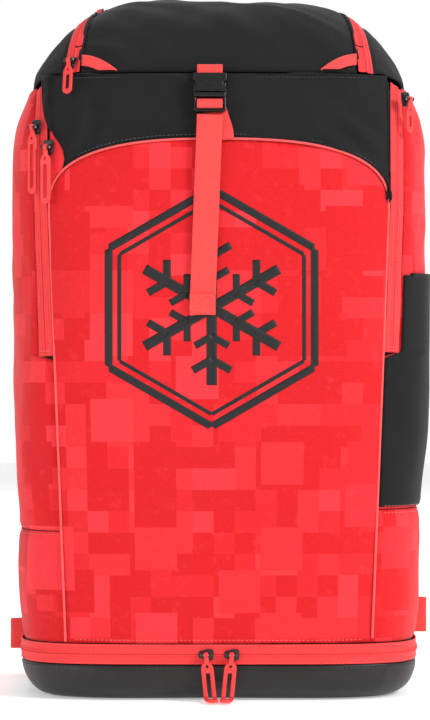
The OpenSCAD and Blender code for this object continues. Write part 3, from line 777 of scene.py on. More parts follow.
def smooth_finish(name, colour, rough, coat=0.0, grain=0.35, grain_scale=900.0, depth=0.05 * MM,
                  metallic=0.0, sheen=0.0):
    """Moulded or coated finish: fine grain, cloudy gloss, and paler rubbed spots."""
    made, n, shader, coords = blank(name)
    wear_and_shade = use_group(n, WEAR_AND_SHADE, coords.outputs["Object"], Amount=1.0)
    grain_at = n.noise(coords.outputs["Object"], grain_scale, 3.0)
    pale = tuple(min(1.0, c * 1.5 + 0.02) for c in colour[:3]) + (1.0,)
    dark = tuple(c * 0.86 for c in colour[:3]) + (1.0,)
    base = n.blend(dark, colour, wear_and_shade["Cloud"])
    n.link(n.blend(base, pale, n.math("MULTIPLY", wear_and_shade["Rub"], 0.35)), shader.inputs["Base Color"])
    n.link(n.math("ADD", n.math("MULTIPLY", wear_and_shade["Cloud"], 0.16), rough - 0.08),
           shader.inputs["Roughness"])
    bump(n, shader, grain_at, grain, depth)
    shader.inputs["Coat Weight"].default_value = coat
    shader.inputs["Coat Roughness"].default_value = 0.25
    shader.inputs["Metallic"].default_value = metallic
    shader.inputs["Sheen Weight"].default_value = sheen
    return made


CORAL = tone(238, 50, 60)
CAMO = cloth_finish("Coral camo weave", CORAL, 950.0, 0.8, 0.18, (1, 0.7, 0.7, 1),
                    colour_maker=camo_colour, ripstop=True)
PLAIN_CORAL = cloth_finish("Plain coral facing", tone(234, 46, 52), 950.0, 0.8, 0.18, (1, 0.7, 0.7, 1))
TAPE = cloth_finish("Coral zip tape", tone(240, 60, 62), 1300.0, 0.72, 0.15, (1, 0.7, 0.7, 1),
                    depth=0.1 * MM)
WEBBING = cloth_finish("Coral webbing", tone(238, 70, 68), 640.0, 0.7, 0.2, (1, 0.75, 0.7, 1),
                       depth=0.2 * MM, strength=0.7)
PIPING = cloth_finish("Coral piping", tone(244, 88, 88), 1200.0, 0.75, 0.2, mapped=True)
CORAL_THREAD = smooth_finish("Coral thread", tone(242, 92, 90), 0.6, grain=0.5, grain_scale=2400.0,
                             sheen=0.2)
# The wide cloud spread here is painted shade: dark and light patches that stand in for the shade of the
# cloth's folds.
BLACK_CLOTH = cloth_finish("Black ripstop", tone(18, 18, 20), 1050.0, 0.82, 0.05, depth=0.2 * MM,
                           strength=0.8, spread=0.7, ripstop=True)
BLACK_STRETCH = cloth_finish("Black stretch knit", tone(18, 18, 20), 1500.0, 0.88, 0.06,
                             depth=0.07 * MM, spread=0.2)
BLACK_MESH = cloth_finish("Black air mesh", tone(20, 20, 22), 420.0, 0.9, 0.12, depth=0.5 * MM,
                          strength=0.9, mapped=False)
BLACK_THREAD = smooth_finish("Black thread", tone(44, 44, 48), 0.6, grain=0.5, grain_scale=2400.0,
                             sheen=0.3)
BINDING = cloth_finish("Black binding", tone(16, 16, 18), 1200.0, 0.78, 0.08)
COATED = smooth_finish("Black coated cloth", tone(8, 8, 9), 0.5, coat=0.03, grain=0.5,
                       grain_scale=1500.0, depth=0.06 * MM)
PLASTIC = smooth_finish("Black moulded plastic", tone(14, 14, 15), 0.3, grain=0.2, grain_scale=1400.0,
                        depth=0.03 * MM)
LACQUER = smooth_finish("Black lacquered slider", tone(28, 28, 30), 0.3, coat=0.4, grain=0.15,
                        metallic=0.4)
STEEL = smooth_finish("Bright steel edge", tone(190, 190, 195), 0.25, grain=0.2, metallic=1.0)
RUBBER = smooth_finish("Coral rubber", tone(240, 60, 58), 0.46, grain=0.3, grain_scale=700.0,
                       depth=0.04 * MM)
PRINT = smooth_finish("Black print", tone(12, 11, 13), 0.62, grain=0.4, grain_scale=1900.0,
                      depth=0.05 * MM)
BOARD = smooth_finish("Grey stiffener", tone(96, 96, 100), 0.6, grain=0.4)
LINING = cloth_finish("Grey lining", tone(40, 40, 43), 1200.0, 0.85, 0.2, mapped=False)


def finish(piece, material, body=None, replaces=()):
    """Gives a new piece its material, slot, body and the nodes it stands for."""
    piece.data.materials.clear()
    piece.data.materials.append(material)
    if body:
        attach(piece, body)
    if replaces:
        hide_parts(*replaces)
    return piece


def repaint(material, *names):
    """A better material for CAD nodes that keep their own shape."""
    for name in names:
        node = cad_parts[name]
        node.data.materials.clear()
        node.data.materials.append(material)


# ---------------------------------------------------------------- camera, floor and light

def camera_and_light():
    """A level camera 2.8 m in front of the bag, a pale floor, and three soft lamps in a pale room."""
    scene = bpy.context.scene
    lens = bpy.data.cameras.new("camera")
    lens.lens = 171.7
    lens.sensor_width = 36
    lens.clip_end = 20
    camera = bpy.data.objects.new("camera", lens)
    scene.collection.objects.link(camera)
    camera.location = (-0.003, -2.8, 0.2645)
    camera.rotation_euler = (math.radians(90), 0, 0)
    scene.camera = camera
    world = bpy.data.worlds.new("pale room")
    world.use_nodes = True
    tree = world.node_tree
    lit = tree.nodes["Background"]
    lit.inputs[0].default_value = (1, 1, 1, 1)
    lit.inputs[1].default_value = 0.55
    seen = tree.nodes.new("ShaderNodeBackground")
    seen.inputs[0].default_value = (1, 1, 1, 1)
    seen.inputs[1].default_value = 1.0
    ray = tree.nodes.new("ShaderNodeLightPath")
    both = tree.nodes.new("ShaderNodeMixShader")
    tree.links.new(ray.outputs["Is Camera Ray"], both.inputs[0])
    tree.links.new(lit.outputs[0], both.inputs[1])
    tree.links.new(seen.outputs[0], both.inputs[2])
    tree.links.new(both.outputs[0], tree.nodes["World Output"].inputs["Surface"])
    scene.world = world
    for name, place, size, power in (("key", (2.2, -1.6, 2.0), 0.9, 66),
                                     ("fill", (-2.1, -1.9, 0.9), 1.8, 18),
                                     ("back", (0.3, 2.6, 2.4), 2.4, 40)):
        lamp = bpy.data.lights.new(name, "AREA")
        lamp.size = size
        lamp.energy = power
        light = bpy.data.objects.new(name, lamp)
        scene.collection.objects.link(light)
        light.location = place
        aim = np.array([0, 0, 0.28]) - np.array(place)
        z = -unit(aim)
        x = unit(np.cross([0, 0, 1.0], z))
        y = np.cross(z, x)
        light.rotation_euler = Matrix(np.stack([x, y, z], 1).tolist()).to_euler()
    m = 60
    x, y = np.meshgrid(np.linspace(-6, 6, m), np.linspace(-4, 6, m))
    floor = new_object("studio_floor", np.stack([x, y, np.full_like(x, -0.0004)], -1), grid_faces(m, m))
    made, n, shader, coords = blank("Pale floor")
    cloud = n.noise(coords.outputs["Object"], 3.0, 4.0)
    n.link(n.ramp(cloud, [(0.3, tone(248, 248, 248)), (0.7, tone(253, 253, 253))]),
           shader.inputs["Base Color"])
    shader.inputs["Roughness"].default_value = 0.7
    shader.inputs["Emission Color"].default_value = (1, 1, 1, 1)
    shader.inputs["Emission Strength"].default_value = 0.35
    floor.data.materials.append(made)


camera_and_light()


# ---------------------------------------------------------------- wall panels

GAP = 0.4 * MM
ZIP_STOP = 0.029


def side_start(z, foot):
    """Sideways place where a side panel starts: past the zip band above its foot, at the seam below,
    with a rounded step of a few millimetres between the two."""
    return panel_edge(z) + GAP + (BAND_W + GAP) * smooth((z - foot) / (6 * MM) + 0.5)


def front_panel():
    """The arched front panel: a gently crowned sheet with slow waves, seam rolls and puckers."""
    u, v = grid(180, 220)
    f = np.sin((u - 0.5) * math.pi)
    z = mix(BASE_Z + GAP, arch(f) - GAP, v)
    a = front_angle(f * panel_edge(z), z)
    p = wall(a, z)
    push = seam_roll(p, 1.5 * MM, 3.0 * MM, seed=3, pucker=0.22 * MM)
    push = push + 0.7 * MM * ripple(p, 11, 130 * MM) + 0.22 * MM * ripple(p * [1, 1, 0.5], 12, 28 * MM)
    push = push + 1.2 * MM * smooth(edge_distance(p) / (40 * MM)) + 0.4 * MM
    return finish(wall_panel("front_panel_cloth", a, z, push), CAMO, "shell",
                  ["front_panel"])


def yoke_left(z):
    """Left edge of the yoke: it leaves the zip band below the shoulder and runs inwards to the arch."""
    heights = np.array([384, 405, 414, 420, 427, 433, 439, 447, 455, 466, 480, 489]) * MM
    places = np.array([128, 123, 121, 120, 121, 124, 128.5, 132.5, 135.5, 137, 138, 138]) * MM
    return -np.interp(z, heights, places)


def yoke_and_facing():
    """The black yoke between the arch and the lid, with one deep crease at the left and slack folds at
    the lower right; a plain coral facing fills the corner between it, the arch and the left zip."""
    u, v = grid(190, 90)
    meet = 0.9285
    f = np.sin(mix(-math.asin(meet), math.pi / 2, u))
    top = LID_SEAM_Z - GAP
    low = np.stack([f * PANEL_TOP, arch(f) + GAP], -1)
    right_z = mix(arch(1.0) + GAP, top, v)
    left_z = mix(arch(meet) + GAP, top, v)
    right = np.stack([panel_edge(right_z), right_z], -1)
    left = np.stack([yoke_left(left_z), left_z], -1)
    t = (f + meet) / (1 + meet)
    high = np.stack([mix(yoke_left(top), panel_edge(top), t), np.full_like(t, top)], -1)
    u, v, t = u[..., None], v[..., None], t[..., None]
    corners = (1 - v) * mix(low[:1, :1], low[:1, -1:], t) + v * mix(high[-1:, :1], high[-1:, -1:], t)
    flat = (1 - v) * low + v * high + (1 - t) * left + t * right - corners
    x, z = flat[..., 0], flat[..., 1]
    a = front_angle(x, z)
    p = wall(a, z)
    push = seam_roll(p, 1.3 * MM, 3.0 * MM, seed=5, pucker=0.3 * MM) + 0.5 * MM
    push = push + 1.5 * MM * ripple(p, 21, 70 * MM) + 0.8 * MM * ripple(p, 22, 28 * MM)
    bend = -113 * MM + 6 * MM * np.sin((z - 430 * MM) / (16 * MM))
    band = np.exp(-((z - 447 * MM) / (20 * MM)) ** 2)
    push = push + band * (3.2 * MM * np.exp(-((x - bend) / (5 * MM)) ** 2)
                          - 2.6 * MM * np.exp(-((x - bend - 11 * MM) / (6 * MM)) ** 2))
    fold = (x - 104 * MM) * 0.75 + (z - 440 * MM)
    patch = np.exp(-((x - 106 * MM) / (20 * MM)) ** 2 - ((z - 436 * MM) / (22 * MM)) ** 2)
    push = push + patch * 2.2 * MM * np.sin(fold / (4.2 * MM))
    over_zip = 2.0 * MM * smooth((-130 * MM - x) / (2.5 * MM))
    push = push * smooth(edge_distance(p) / (2 * MM) + 0.25) + over_zip
    yoke = wall_panel("front_yoke_cloth", a, z, push)
    finish(yoke, BLACK_CLOTH, "shell", ["front_yoke"])
    u, v = grid(30, 110)
    top = 462 * MM
    z0 = mix(386 * MM, top, v)
    outer = -panel_edge(z0)
    inner = np.minimum(yoke_left(z0), -PANEL_TOP * arch_share(z0)) - 0.3 * MM
    x = mix(outer, np.maximum(inner, outer + 0.3 * MM), u)
    a = front_angle(x, z0)
    p = wall(a, z0)
    far = edge_distance(p)
    folds = 0.5 * MM * ripple(p, 31, 26 * MM) * smooth(far / (4 * MM))
    push = 0.2 * MM + folds - 0.9 * MM * (1 - smooth(far / (3 * MM)))
    facing = wall_panel("shoulder_facing_left_cloth", a, z0, push)
    finish(facing, PLAIN_CORAL, "shell")


def arch_share(z):
    """Share of the panel's half width where the arch reaches height z: the arch's formula turned round."""
    t = np.clip((z - (ARCH_Z - ARCH_DROP)) / ARCH_DROP, 0, 1)
    return np.clip(1 - t ** ARCH_POWER, 0, 1) ** (1 / ARCH_POWER)


def side_panel(name, foot_z, zip_foot, left, node, seed):
    """Upper side panel: padded cloth that swells between its seams, with slow upright folds."""
    u, v = grid(120, 190)
    z = mix(foot_z + GAP, SHOULDER_Z - GAP, v)
    a = mix(front_angle(side_start(z, zip_foot), z), BACK_SEAM - 0.004, u)
    if left:
        a, z = (math.pi - a)[:, ::-1] - 2 * math.pi, z[:, ::-1]
    p = wall(a, z)
    push = seam_roll(p, 1.8 * MM, 4.0 * MM, seed=seed, pucker=0.4 * MM) + 0.3 * MM
    far = edge_distance(p)
    folds = 1.3 * MM * ripple(p * [1, 1, 0.6], seed + 1, 95 * MM)
    folds = folds + 0.45 * MM * ripple(p, seed + 2, 30 * MM)
    push = push + 1.6 * MM * smooth(far / (45 * MM)) + folds * smooth(far / (12 * MM))
    if not left:
        past_zip = smooth((a - front_angle(np.full_like(z, 150 * MM), z)) / 0.02)
        under = smooth((z - 146 * MM) / (6 * MM)) * smooth((330 * MM - z) / (6 * MM)) * past_zip
        push = mix(push, np.minimum(push, -0.6 * MM), under)
    return finish(wall_panel(name, a, z, push), CAMO, "shell", [node])


def lower_side(name, top_z, left, node, seed):
    """Lower side panel, between the cross seam and the base zip."""
    u, v = grid(110, 70)
    z = mix(BASE_Z + GAP, top_z - GAP, v)
    a = mix(front_angle(panel_edge(z) + GAP, z), BACK_SEAM - 0.004, u)
    if left:
        a, z = (math.pi - a)[:, ::-1] - 2 * math.pi, z[:, ::-1]
    p = wall(a, z)
    push = seam_roll(p, 1.8 * MM, 4.0 * MM, seed=seed, pucker=0.4 * MM) + 0.3 * MM
    far = edge_distance(p)
    folds = 1.0 * MM * ripple(p, seed + 1, 60 * MM)
    push = push + 1.4 * MM * smooth(far / (30 * MM)) + folds * smooth(far / (10 * MM))
    return finish(wall_panel(name, a, z, push), CAMO, "shell", [node])


def back_panel():
    """The black back panel under the pads."""
    u, v = grid(120, 150)
    z = mix(TRAY_H + GAP, SHOULDER_Z - GAP, v)
    a = mix(BACK_SEAM + 0.002, math.pi - BACK_SEAM - 0.002, u)
    p = wall(a, z)
    push = seam_roll(p, 1.4 * MM, 3.5 * MM, seed=41, pucker=0.3 * MM)
    push = push - 0.2 * MM + 0.4 * MM * ripple(p, 42, 70 * MM)
    return finish(wall_panel("back_panel_cloth", a, z, np.minimum(push, 0.3 * MM)), BLACK_CLOTH,
                  "shell", ["back_panel"])


def side_pocket():
    """The stretch pocket on the right: taut knit held by its rim, with a little slack at the foot."""
    u, v = grid(90, 120)
    z = mix(POCKET_FOOT_Z, POCKET_TOP_Z, v)
    a = mix(front_angle(side_start(z, ZIP_FOOT_RIGHT) + 1 * MM, z), BACK_SEAM - math.radians(8), u)
    p = wall(a, z)
    swell = np.minimum(1, np.sin(math.pi * u) * 2.2) * np.minimum(1, v * 2.6)
    swell = smooth(np.maximum(swell, 0))
    push = 1.6 * MM + 4.6 * MM * swell + 0.35 * MM * ripple(p, 51, 50 * MM) * swell
    push = push - 0.9 * MM * np.exp(-(edge_distance(p, "t") / (2.2 * MM)) ** 2)
    finish(wall_panel("side_pocket_cloth", a, z, push, 1.1 * MM), BLACK_STRETCH,
           "shell", ["side_pocket"])
    rim = wall(a[-1], z[-1])
    out = grid_normals(p)[-1]
    path = rim + out * (push[-1] - 0.6 * MM)[:, None]
    bind = tube("side_pocket_binding", path[3:-3], 1.7 * MM, 10)
    finish(bind, BINDING, "shell")


# ---------------------------------------------------------------- dome panels

def lid_edge(s, d):
    """A plan point beside the lid's outline, kept just behind the front seam."""
    p = lid_offset(s, np.broadcast_to(d, np.shape(s)))
    seam = wall(front_angle(p[..., 0], np.full(p.shape[:-1], LID_SEAM_Z)),
                np.full(p.shape[:-1], LID_SEAM_Z))[..., 1]
    return np.stack([p[..., 0], np.maximum(p[..., 1], seam + 0.6 * MM)], -1)


def lid_wave(p):
    """Slack folds of the lid's cloth: slow waves, small ripples and a few sharper creases."""
    return np.clip(1.9 * MM * ripple(p, 61, 70 * MM) + 0.8 * MM * ripple(p, 62, 26 * MM)
                   + 1.3 * MM * crease(p, 63, 80 * MM, 4.0),
                   -3 * MM, 3 * MM)


def lid_panel():
    """The lid: a thin black dome that sags a little, with soft wrinkles that run from its corners and
    a wavy rear edge."""
    u, v = grid(150, 130)
    inner = -(TAPE_W + 0.3 * MM)
    left, right = lid_edge(np.array(0.0), inner)[0], lid_edge(np.array(1.0), inner)[0]
    x = mix(left, right, 0.5 + 0.5 * np.sin((u - 0.5) * math.pi))
    seam = wall(front_angle(x, np.full_like(x, LID_SEAM_Z)), np.full_like(x, LID_SEAM_Z))[..., 1]
    low = np.stack([x, seam + 0.6 * MM], -1)
    high = lid_edge(0.25 + 0.5 * u, inner)
    plan = mix(low, high, v[..., None])
    p = crown(plan[..., 0], plan[..., 1])
    far = edge_distance(p)
    push = -1.2 * MM * np.exp(-(far / (3 * MM)) ** 2) + lid_wave(p) * smooth(far / (14 * MM))
    return finish(crown_panel("lid_panel_cloth", plan, push), BLACK_CLOTH, "lid",
                  ["lid_panel"])


def gusset(name, left, node, seed):
    """Dome panel between the lid's tape and the shoulder seam."""
    u, v = grid(110, 60)
    low = mix(LID_SEAM_Z, SHOULDER_Z, np.clip(3 * u, 0, 1)) + 0.9 * MM
    a0 = front_angle(PANEL_TOP + GAP, np.array(LID_SEAM_Z))
    p = wall(mix(a0, BACK_SEAM - 0.003, u), low)[..., :2]
    plan = mix(p, lid_edge(mix(1.0, 0.55, u), TAPE_W + GAP), v[..., None])
    if left:
        plan = mirrored(plan)
    p = crown(plan[..., 0], plan[..., 1])
    far = edge_distance(p)
    folds = 1.0 * MM * ripple(p, seed, 60 * MM) + 0.4 * MM * ripple(p, seed + 1, 24 * MM)
    push = folds * smooth(far / (10 * MM)) - 1.2 * MM * np.exp(-(far / (3 * MM)) ** 2)
    return finish(crown_panel(name, plan, push), BLACK_CLOTH, "shell", [node])


def rear_top_panel():
    """Dome panel behind the lid."""
    u, v = grid(110, 60)
    p = wall(mix(BACK_SEAM, math.pi - BACK_SEAM, u), np.full_like(u, SHOULDER_Z + 0.9 * MM))[..., :2]
    plan = mix(p, lid_edge(mix(0.548, 0.452, u), TAPE_W + GAP), v[..., None])
    p = crown(plan[..., 0], plan[..., 1])
    if np.mean(grid_normals(p)[..., 2]) < 0:
        plan = plan[:, ::-1]
        p = crown(plan[..., 0], plan[..., 1])
    far = edge_distance(p)
    folds = 1.0 * MM * ripple(p, 73, 60 * MM) * smooth(far / (10 * MM))
    push = folds - 1.2 * MM * np.exp(-(far / (3 * MM)) ** 2)
    return finish(crown_panel("rear_top_panel_cloth", plan, push), BLACK_CLOTH, "shell",
                  ["rear_top_panel"])


# ---------------------------------------------------------------- zips

def surface_frame(points, normal):
    """Ways across and out along a line of points on the bag, given the surface's own normals."""
    run = unit(np.gradient(points, axis=0))
    out = unit(normal - run * np.sum(normal * run, -1, keepdims=True))
    return unit(np.cross(run, out)), out


def wall_normal(a, z):
    """Unit way out of the wall, by small steps in direction and height."""
    e = 1e-3
    da = wall(a + e, z) - wall(a - e, z)
    dz = wall(a, z + e * 0.2) - wall(a, z - e * 0.2)
    return unit(np.cross(da, dz))


def crown_normal(x, y):
    """Unit way out of the dome, by small steps in plan."""
    e = 0.5 * MM
    return unit(np.cross(crown(x + e, y) - crown(x - e, y), crown(x, y + e) - crown(x, y - e)))


def side_zip(name, foot, left, node, seed):
    """Side zip: two woven tapes meet over a hidden coil, on a band that ends in a rounded, stitched foot."""
    z = np.arange(foot + 0.5 * MM, SHOULDER_Z - 0.5 * MM, 0.5 * MM)
    parts = []
    half = BAND_W / 2
    x = panel_edge(z) + GAP + half
    c = wall(front_angle(x, z), z)
    out = wall_normal(front_angle(x, z), z)
    if left:
        c, out = c * [-1, 1, 1], out * [-1, 1, 1]
    side, out = surface_frame(c, out)
    for sign, key in ((1, "a"), (-1, "b")):
        parts.append(half_tape(f"{name}_{key}", c + out * 0.1 * MM, side, out, half + 0.3 * MM, sign,
                               seed=seed))
    parts = [set_material(part, TAPE) for part in parts]
    both = join(name, parts)
    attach(both, "shell")
    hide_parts(node)
    ends = []
    for k in (0.5 * MM, 3.0 * MM):
        line = c[int(k / (0.5 * MM)) + 2] + side[0] * np.linspace(-half + 1 * MM, half - 1 * MM,
                                                                  12)[:, None] + out[0] * 1.3 * MM
        ends.append(stitches(f"{name}_bar_{len(ends)}", line, out[0], 1.9 * MM, 1.5 * MM, 0.4 * MM))
    for k in (-0.55, 0.55):
        line = c + side * (k * half) + out * 0.75 * MM
        ends.append(stitches(f"{name}_row_{len(ends)}", line[::6], out[::6], 3.2 * MM, 2.3 * MM,
                             0.28 * MM))
    rows = join(f"{name}_stitches", ends)
    finish(rows, CORAL_THREAD, "shell")


def set_material(piece, material):
    piece.data.materials.clear()
    piece.data.materials.append(material)
    return piece


def lid_zip():
    """The lid's zip: the inner tape moves with the lid, the outer one stays on the bag."""
    s = np.linspace(0.001, 0.999, 1300)
    plan = lid_edge(s, 0.0)
    step = np.concatenate([[0], np.cumsum(np.linalg.norm(np.diff(plan, axis=0), axis=1))])
    s = np.interp(np.linspace(0, step[-1], 1250), step, s)
    plan = lid_edge(s, 0.0)
    c = crown(plan[:, 0], plan[:, 1])
    out = crown_normal(plan[:, 0], plan[:, 1])
    side, out = surface_frame(c, out)
    ends = [slice(None, int((s < ZIP_STOP).sum())), slice(len(s) - int((s > 1 - ZIP_STOP).sum()), None)]
    open_part = slice(ends[0].stop + 2, ends[1].start - 2)
    for sign, name, body, node, seed in ((1, "lid_zip_inner_tape", "lid", "lid_zip_inner", 81),
                                         (-1, "lid_zip_outer_tape", "shell", "lid_zip_outer", 82)):
        part = open_part if sign > 0 else slice(None)
        tape = half_tape(name, (c + out * 0.2 * MM)[part], side[part], out[part], TAPE_W, sign,
                         seed=seed)
        if sign < 0:
            ends = [half_tape(f"{name}_{k}", (c + out * 0.2 * MM)[end], side[end], out[end], TAPE_W, 1,
                              seed=81) for k, end in enumerate(ends)]
            tape = join(name, [tape] + ends)
        finish(tape, TAPE, body, [node])
        line = (c + side * (sign * 0.86 * TAPE_W) + out * 0.6 * MM)[part]
        finish(stitches(f"{name}_stitches", line[::8], out[part][::8], 3.2 * MM, 2.3 * MM, 0.28 * MM),
               CORAL_THREAD, body)


def base_zip():
    """The base zip: the upper tape stays on the bag, the lower one folds down with the tray."""
    a = np.linspace(-math.pi - BACK_SEAM + 0.004, BACK_SEAM - 0.004, 2400)
    mid = TRAY_H + BASE_ZIP_H / 2
    p = wall(a, np.full_like(a, mid))
    step = np.concatenate([[0], np.cumsum(np.linalg.norm(np.diff(p, axis=0), axis=1))])
    a = np.interp(np.linspace(0, step[-1], 1700), step, a)
    z = np.full_like(a, mid)
    c = wall(a, z)
    out = wall_normal(a, z)
    side, out = surface_frame(c, out)
    for sign, name, body, node, seed in ((-1, "base_zip_upper_tape", "shell", "base_zip_upper", 83),
                                         (1, "base_zip_lower_tape", "base", "base_zip_lower", 84)):
        tape = half_tape(name, c + out * 0.5 * MM, side, out, BASE_ZIP_H / 2 - 0.2 * MM, sign, seed=seed)
        finish(tape, TAPE, body, [node])
        line = c + side * (sign * 0.86 * BASE_ZIP_H / 2) + out * 0.9 * MM
        finish(stitches(f"{name}_stitches", line[::8], out[::8], 3.2 * MM, 2.3 * MM, 0.28 * MM),
               CORAL_THREAD, body)


def main_lining():
    """The main compartment's lining: one closed turn of cloth just inside the wall panels."""
    u, v = grid(260, 70)
    z = mix(41.5 * MM, 478 * MM, v)
    finish(wall_panel("main_lining", mix(-math.pi * 1.5, math.pi * 0.5, u), z,
                      np.full_like(z, -3.3 * MM), 0.5 * MM), LINING, "shell")


# ---------------------------------------------------------------- base tray

def base_tray():
    """The coated tray: a profile of insets and heights, from the middle of the underside up to the rim and
    down inside, carried round the plan, with slack waves and low creases in its wall."""
    z = np.concatenate([np.linspace(0, 1, 12) ** 1.6 * TRAY_R, [TRAY_H * 0.93, TRAY_H - 0.4 * MM]])
    inset = TRAY_R - np.sqrt(np.clip(TRAY_R ** 2 - (TRAY_R - np.minimum(z, TRAY_R)) ** 2, 0, None))
    a = np.linspace(-math.pi, math.pi, 360, endpoint=False)
    rings = []

    def ring(height, inward, share=1.0):
        p = wall(a, np.full_like(a, height))
        r = np.linalg.norm(p[:, :2], axis=1)
        q = p.copy()
        q[:, :2] *= ((r - inward) / r * share)[:, None]
        return q

    for share in (0.02, 0.5, 0.9, 0.985):
        rings.append(ring(0.0, inset[0], share))
    for h, d in zip(z, inset):
        q = ring(h, d)
        out = unit(q * [1, 1, 0])
        t = smooth(h / (10 * MM)) * smooth((TRAY_H - h) / (5 * MM))
        wave = 0.8 * MM * ripple(q * [1, 1, 1.3], 91, 55 * MM) + 0.7 * MM * crease(q * [1, 1, 2.2], 92,
                                                                                   60 * MM, 3.2)
        rings.append(q + out * (wave * t)[:, None])
    for h, d in zip(z[::-1], inset[::-1]):
        rings.append(ring(max(h, 2.2 * MM), d + 2.2 * MM))
    for share in (0.9, 0.5, 0.02):
        rings.append(ring(2.2 * MM, inset[0] + 2.2 * MM, share))
    pts = np.stack(rings)
    m, k = pts.shape[:2]
    faces = [tuple(f) for f in grid_faces(m, k, wrap_columns=True).tolist()]
    faces.append(tuple(range(k)))
    faces.append(tuple(range((m - 1) * k, m * k)))
    tray = new_object("base_tray_shell", pts, faces,
                      np.stack([np.broadcast_to(girth(a), (m, k)),
                                np.broadcast_to(np.arange(m)[:, None] * 3 * MM, (m, k))], -1))
    recalc(tray)
    finish(tray, COATED, "base", ["base_tray"])
    b = np.linspace(-math.pi - BACK_SEAM, BACK_SEAM, 500)
    line = wall(b, np.full_like(b, TRAY_H - 3.2 * MM)) + wall_normal(b, np.full_like(b, TRAY_H)) * 0.35 * MM
    finish(stitches("base_tray_stitches", line, wall_normal(b, np.full_like(b, TRAY_H)), 3.6 * MM,
                    2.6 * MM, 0.3 * MM), BLACK_THREAD, "base")


front_panel()
yoke_and_facing()
side_panel("side_panel_right_cloth", SEAM_RIGHT_Z, ZIP_FOOT_RIGHT, False, "side_panel_right", 33)
side_panel("side_panel_left_cloth", SEAM_LEFT_Z, ZIP_FOOT_LEFT, True, "side_panel_left", 36)
lower_side("lower_side_right_cloth", SEAM_RIGHT_Z, False, "lower_side_right", 45)
lower_side("lower_side_left_cloth", SEAM_LEFT_Z, True, "lower_side_left", 48)
back_panel()
side_pocket()
lid_panel()
gusset("top_gusset_right_cloth", False, "top_gusset_right", 66)
gusset("top_gusset_left_cloth", True, "top_gusset_left", 69)
rear_top_panel()
side_zip("side_zip_right_band", ZIP_FOOT_RIGHT + 1 * MM, False, "side_zip_right", 76)
side_zip("side_zip_left_band", ZIP_FOOT_LEFT + 1 * MM, True, "side_zip_left", 77)
lid_zip()
base_zip()
main_lining()
base_tray()


# ---------------------------------------------------------------- piping, seams and print

def along_front(x, z, lift):
    """Points on the front wall at places (x, z), lifted along its normal."""
    a = front_angle(x, z)
    n = wall_normal(a, z)
    return wall(a, z) + n * np.asarray(lift)[..., None], n


def piping_and_seams():
    """Coral piping down both sides of the front panel and over its arch, and the stitch rows beside it."""
    t = np.linspace(-1, 1, 241)
    f = np.sin(t * math.pi / 2)
    zs = np.linspace(BASE_Z + 1 * MM, ARCH_Z - ARCH_DROP, 120)
    x = np.concatenate([-panel_edge(zs) - 0.2 * MM, f[1:-1] * PANEL_TOP,
                        panel_edge(zs[::-1]) + 0.2 * MM])
    z = np.concatenate([zs, arch(f[1:-1]), zs[::-1]])
    path, n = along_front(x, z, np.full_like(x, 0.35 * MM))
    finish(tube("front_panel_piping", resample(path[::3], 2.0 * MM), 0.95 * MM, 8), PIPING,
           "shell")
    f = np.linspace(-0.93, 0.93, 160)
    line, n = along_front(f * PANEL_TOP, arch(f) + 3.4 * MM, np.full_like(f, 0.75 * MM))
    finish(stitches("yoke_arch_stitches", line[8:], n[8:], 3.3 * MM, 2.3 * MM, 0.34 * MM), BLACK_THREAD,
           "shell")
    x = np.linspace(-118, 118, 120) * MM
    line, n = along_front(x, np.full_like(x, LID_SEAM_Z - 3.6 * MM), np.full_like(x, 0.55 * MM))
    finish(stitches("yoke_seam_stitches", line, n, 3.3 * MM, 2.3 * MM, 0.3 * MM), BLACK_THREAD,
           "shell")
    rows = []
    x = np.linspace(-112, 112, 110) * MM
    line, n = along_front(x, np.full_like(x, BASE_Z + 3.0 * MM), np.full_like(x, 0.7 * MM))
    rows.append(stitches("foot_row", line, n, 3.4 * MM, 2.4 * MM, 0.28 * MM))
    for left, top in ((False, SEAM_RIGHT_Z), (True, SEAM_LEFT_Z)):
        a = np.linspace(front_angle(panel_edge(top) + 5 * MM, top), BACK_SEAM - 0.03, 120)
        for dz in (-2.6 * MM, 2.8 * MM):
            z = np.full_like(a, top + dz)
            line, n = wall(a, z), wall_normal(a, z)
            if left:
                line, n = line * [-1, 1, 1], n * [-1, 1, 1]
            rows.append(stitches(f"cross_row_{len(rows)}", line + n * 0.75 * MM, n, 3.4 * MM, 2.4 * MM,
                                 0.28 * MM))
    finish(join("shell_seam_stitches", rows), CORAL_THREAD, "shell")


def front_push(p):
    """How far the middle of the front panel's cloth stands out of the bag's plain surface."""
    slow = 1.6 * MM + 0.7 * MM * ripple(p, 11, 130 * MM)
    return slow + 0.22 * MM * ripple(p * [1, 1, 0.5], 12, 28 * MM)


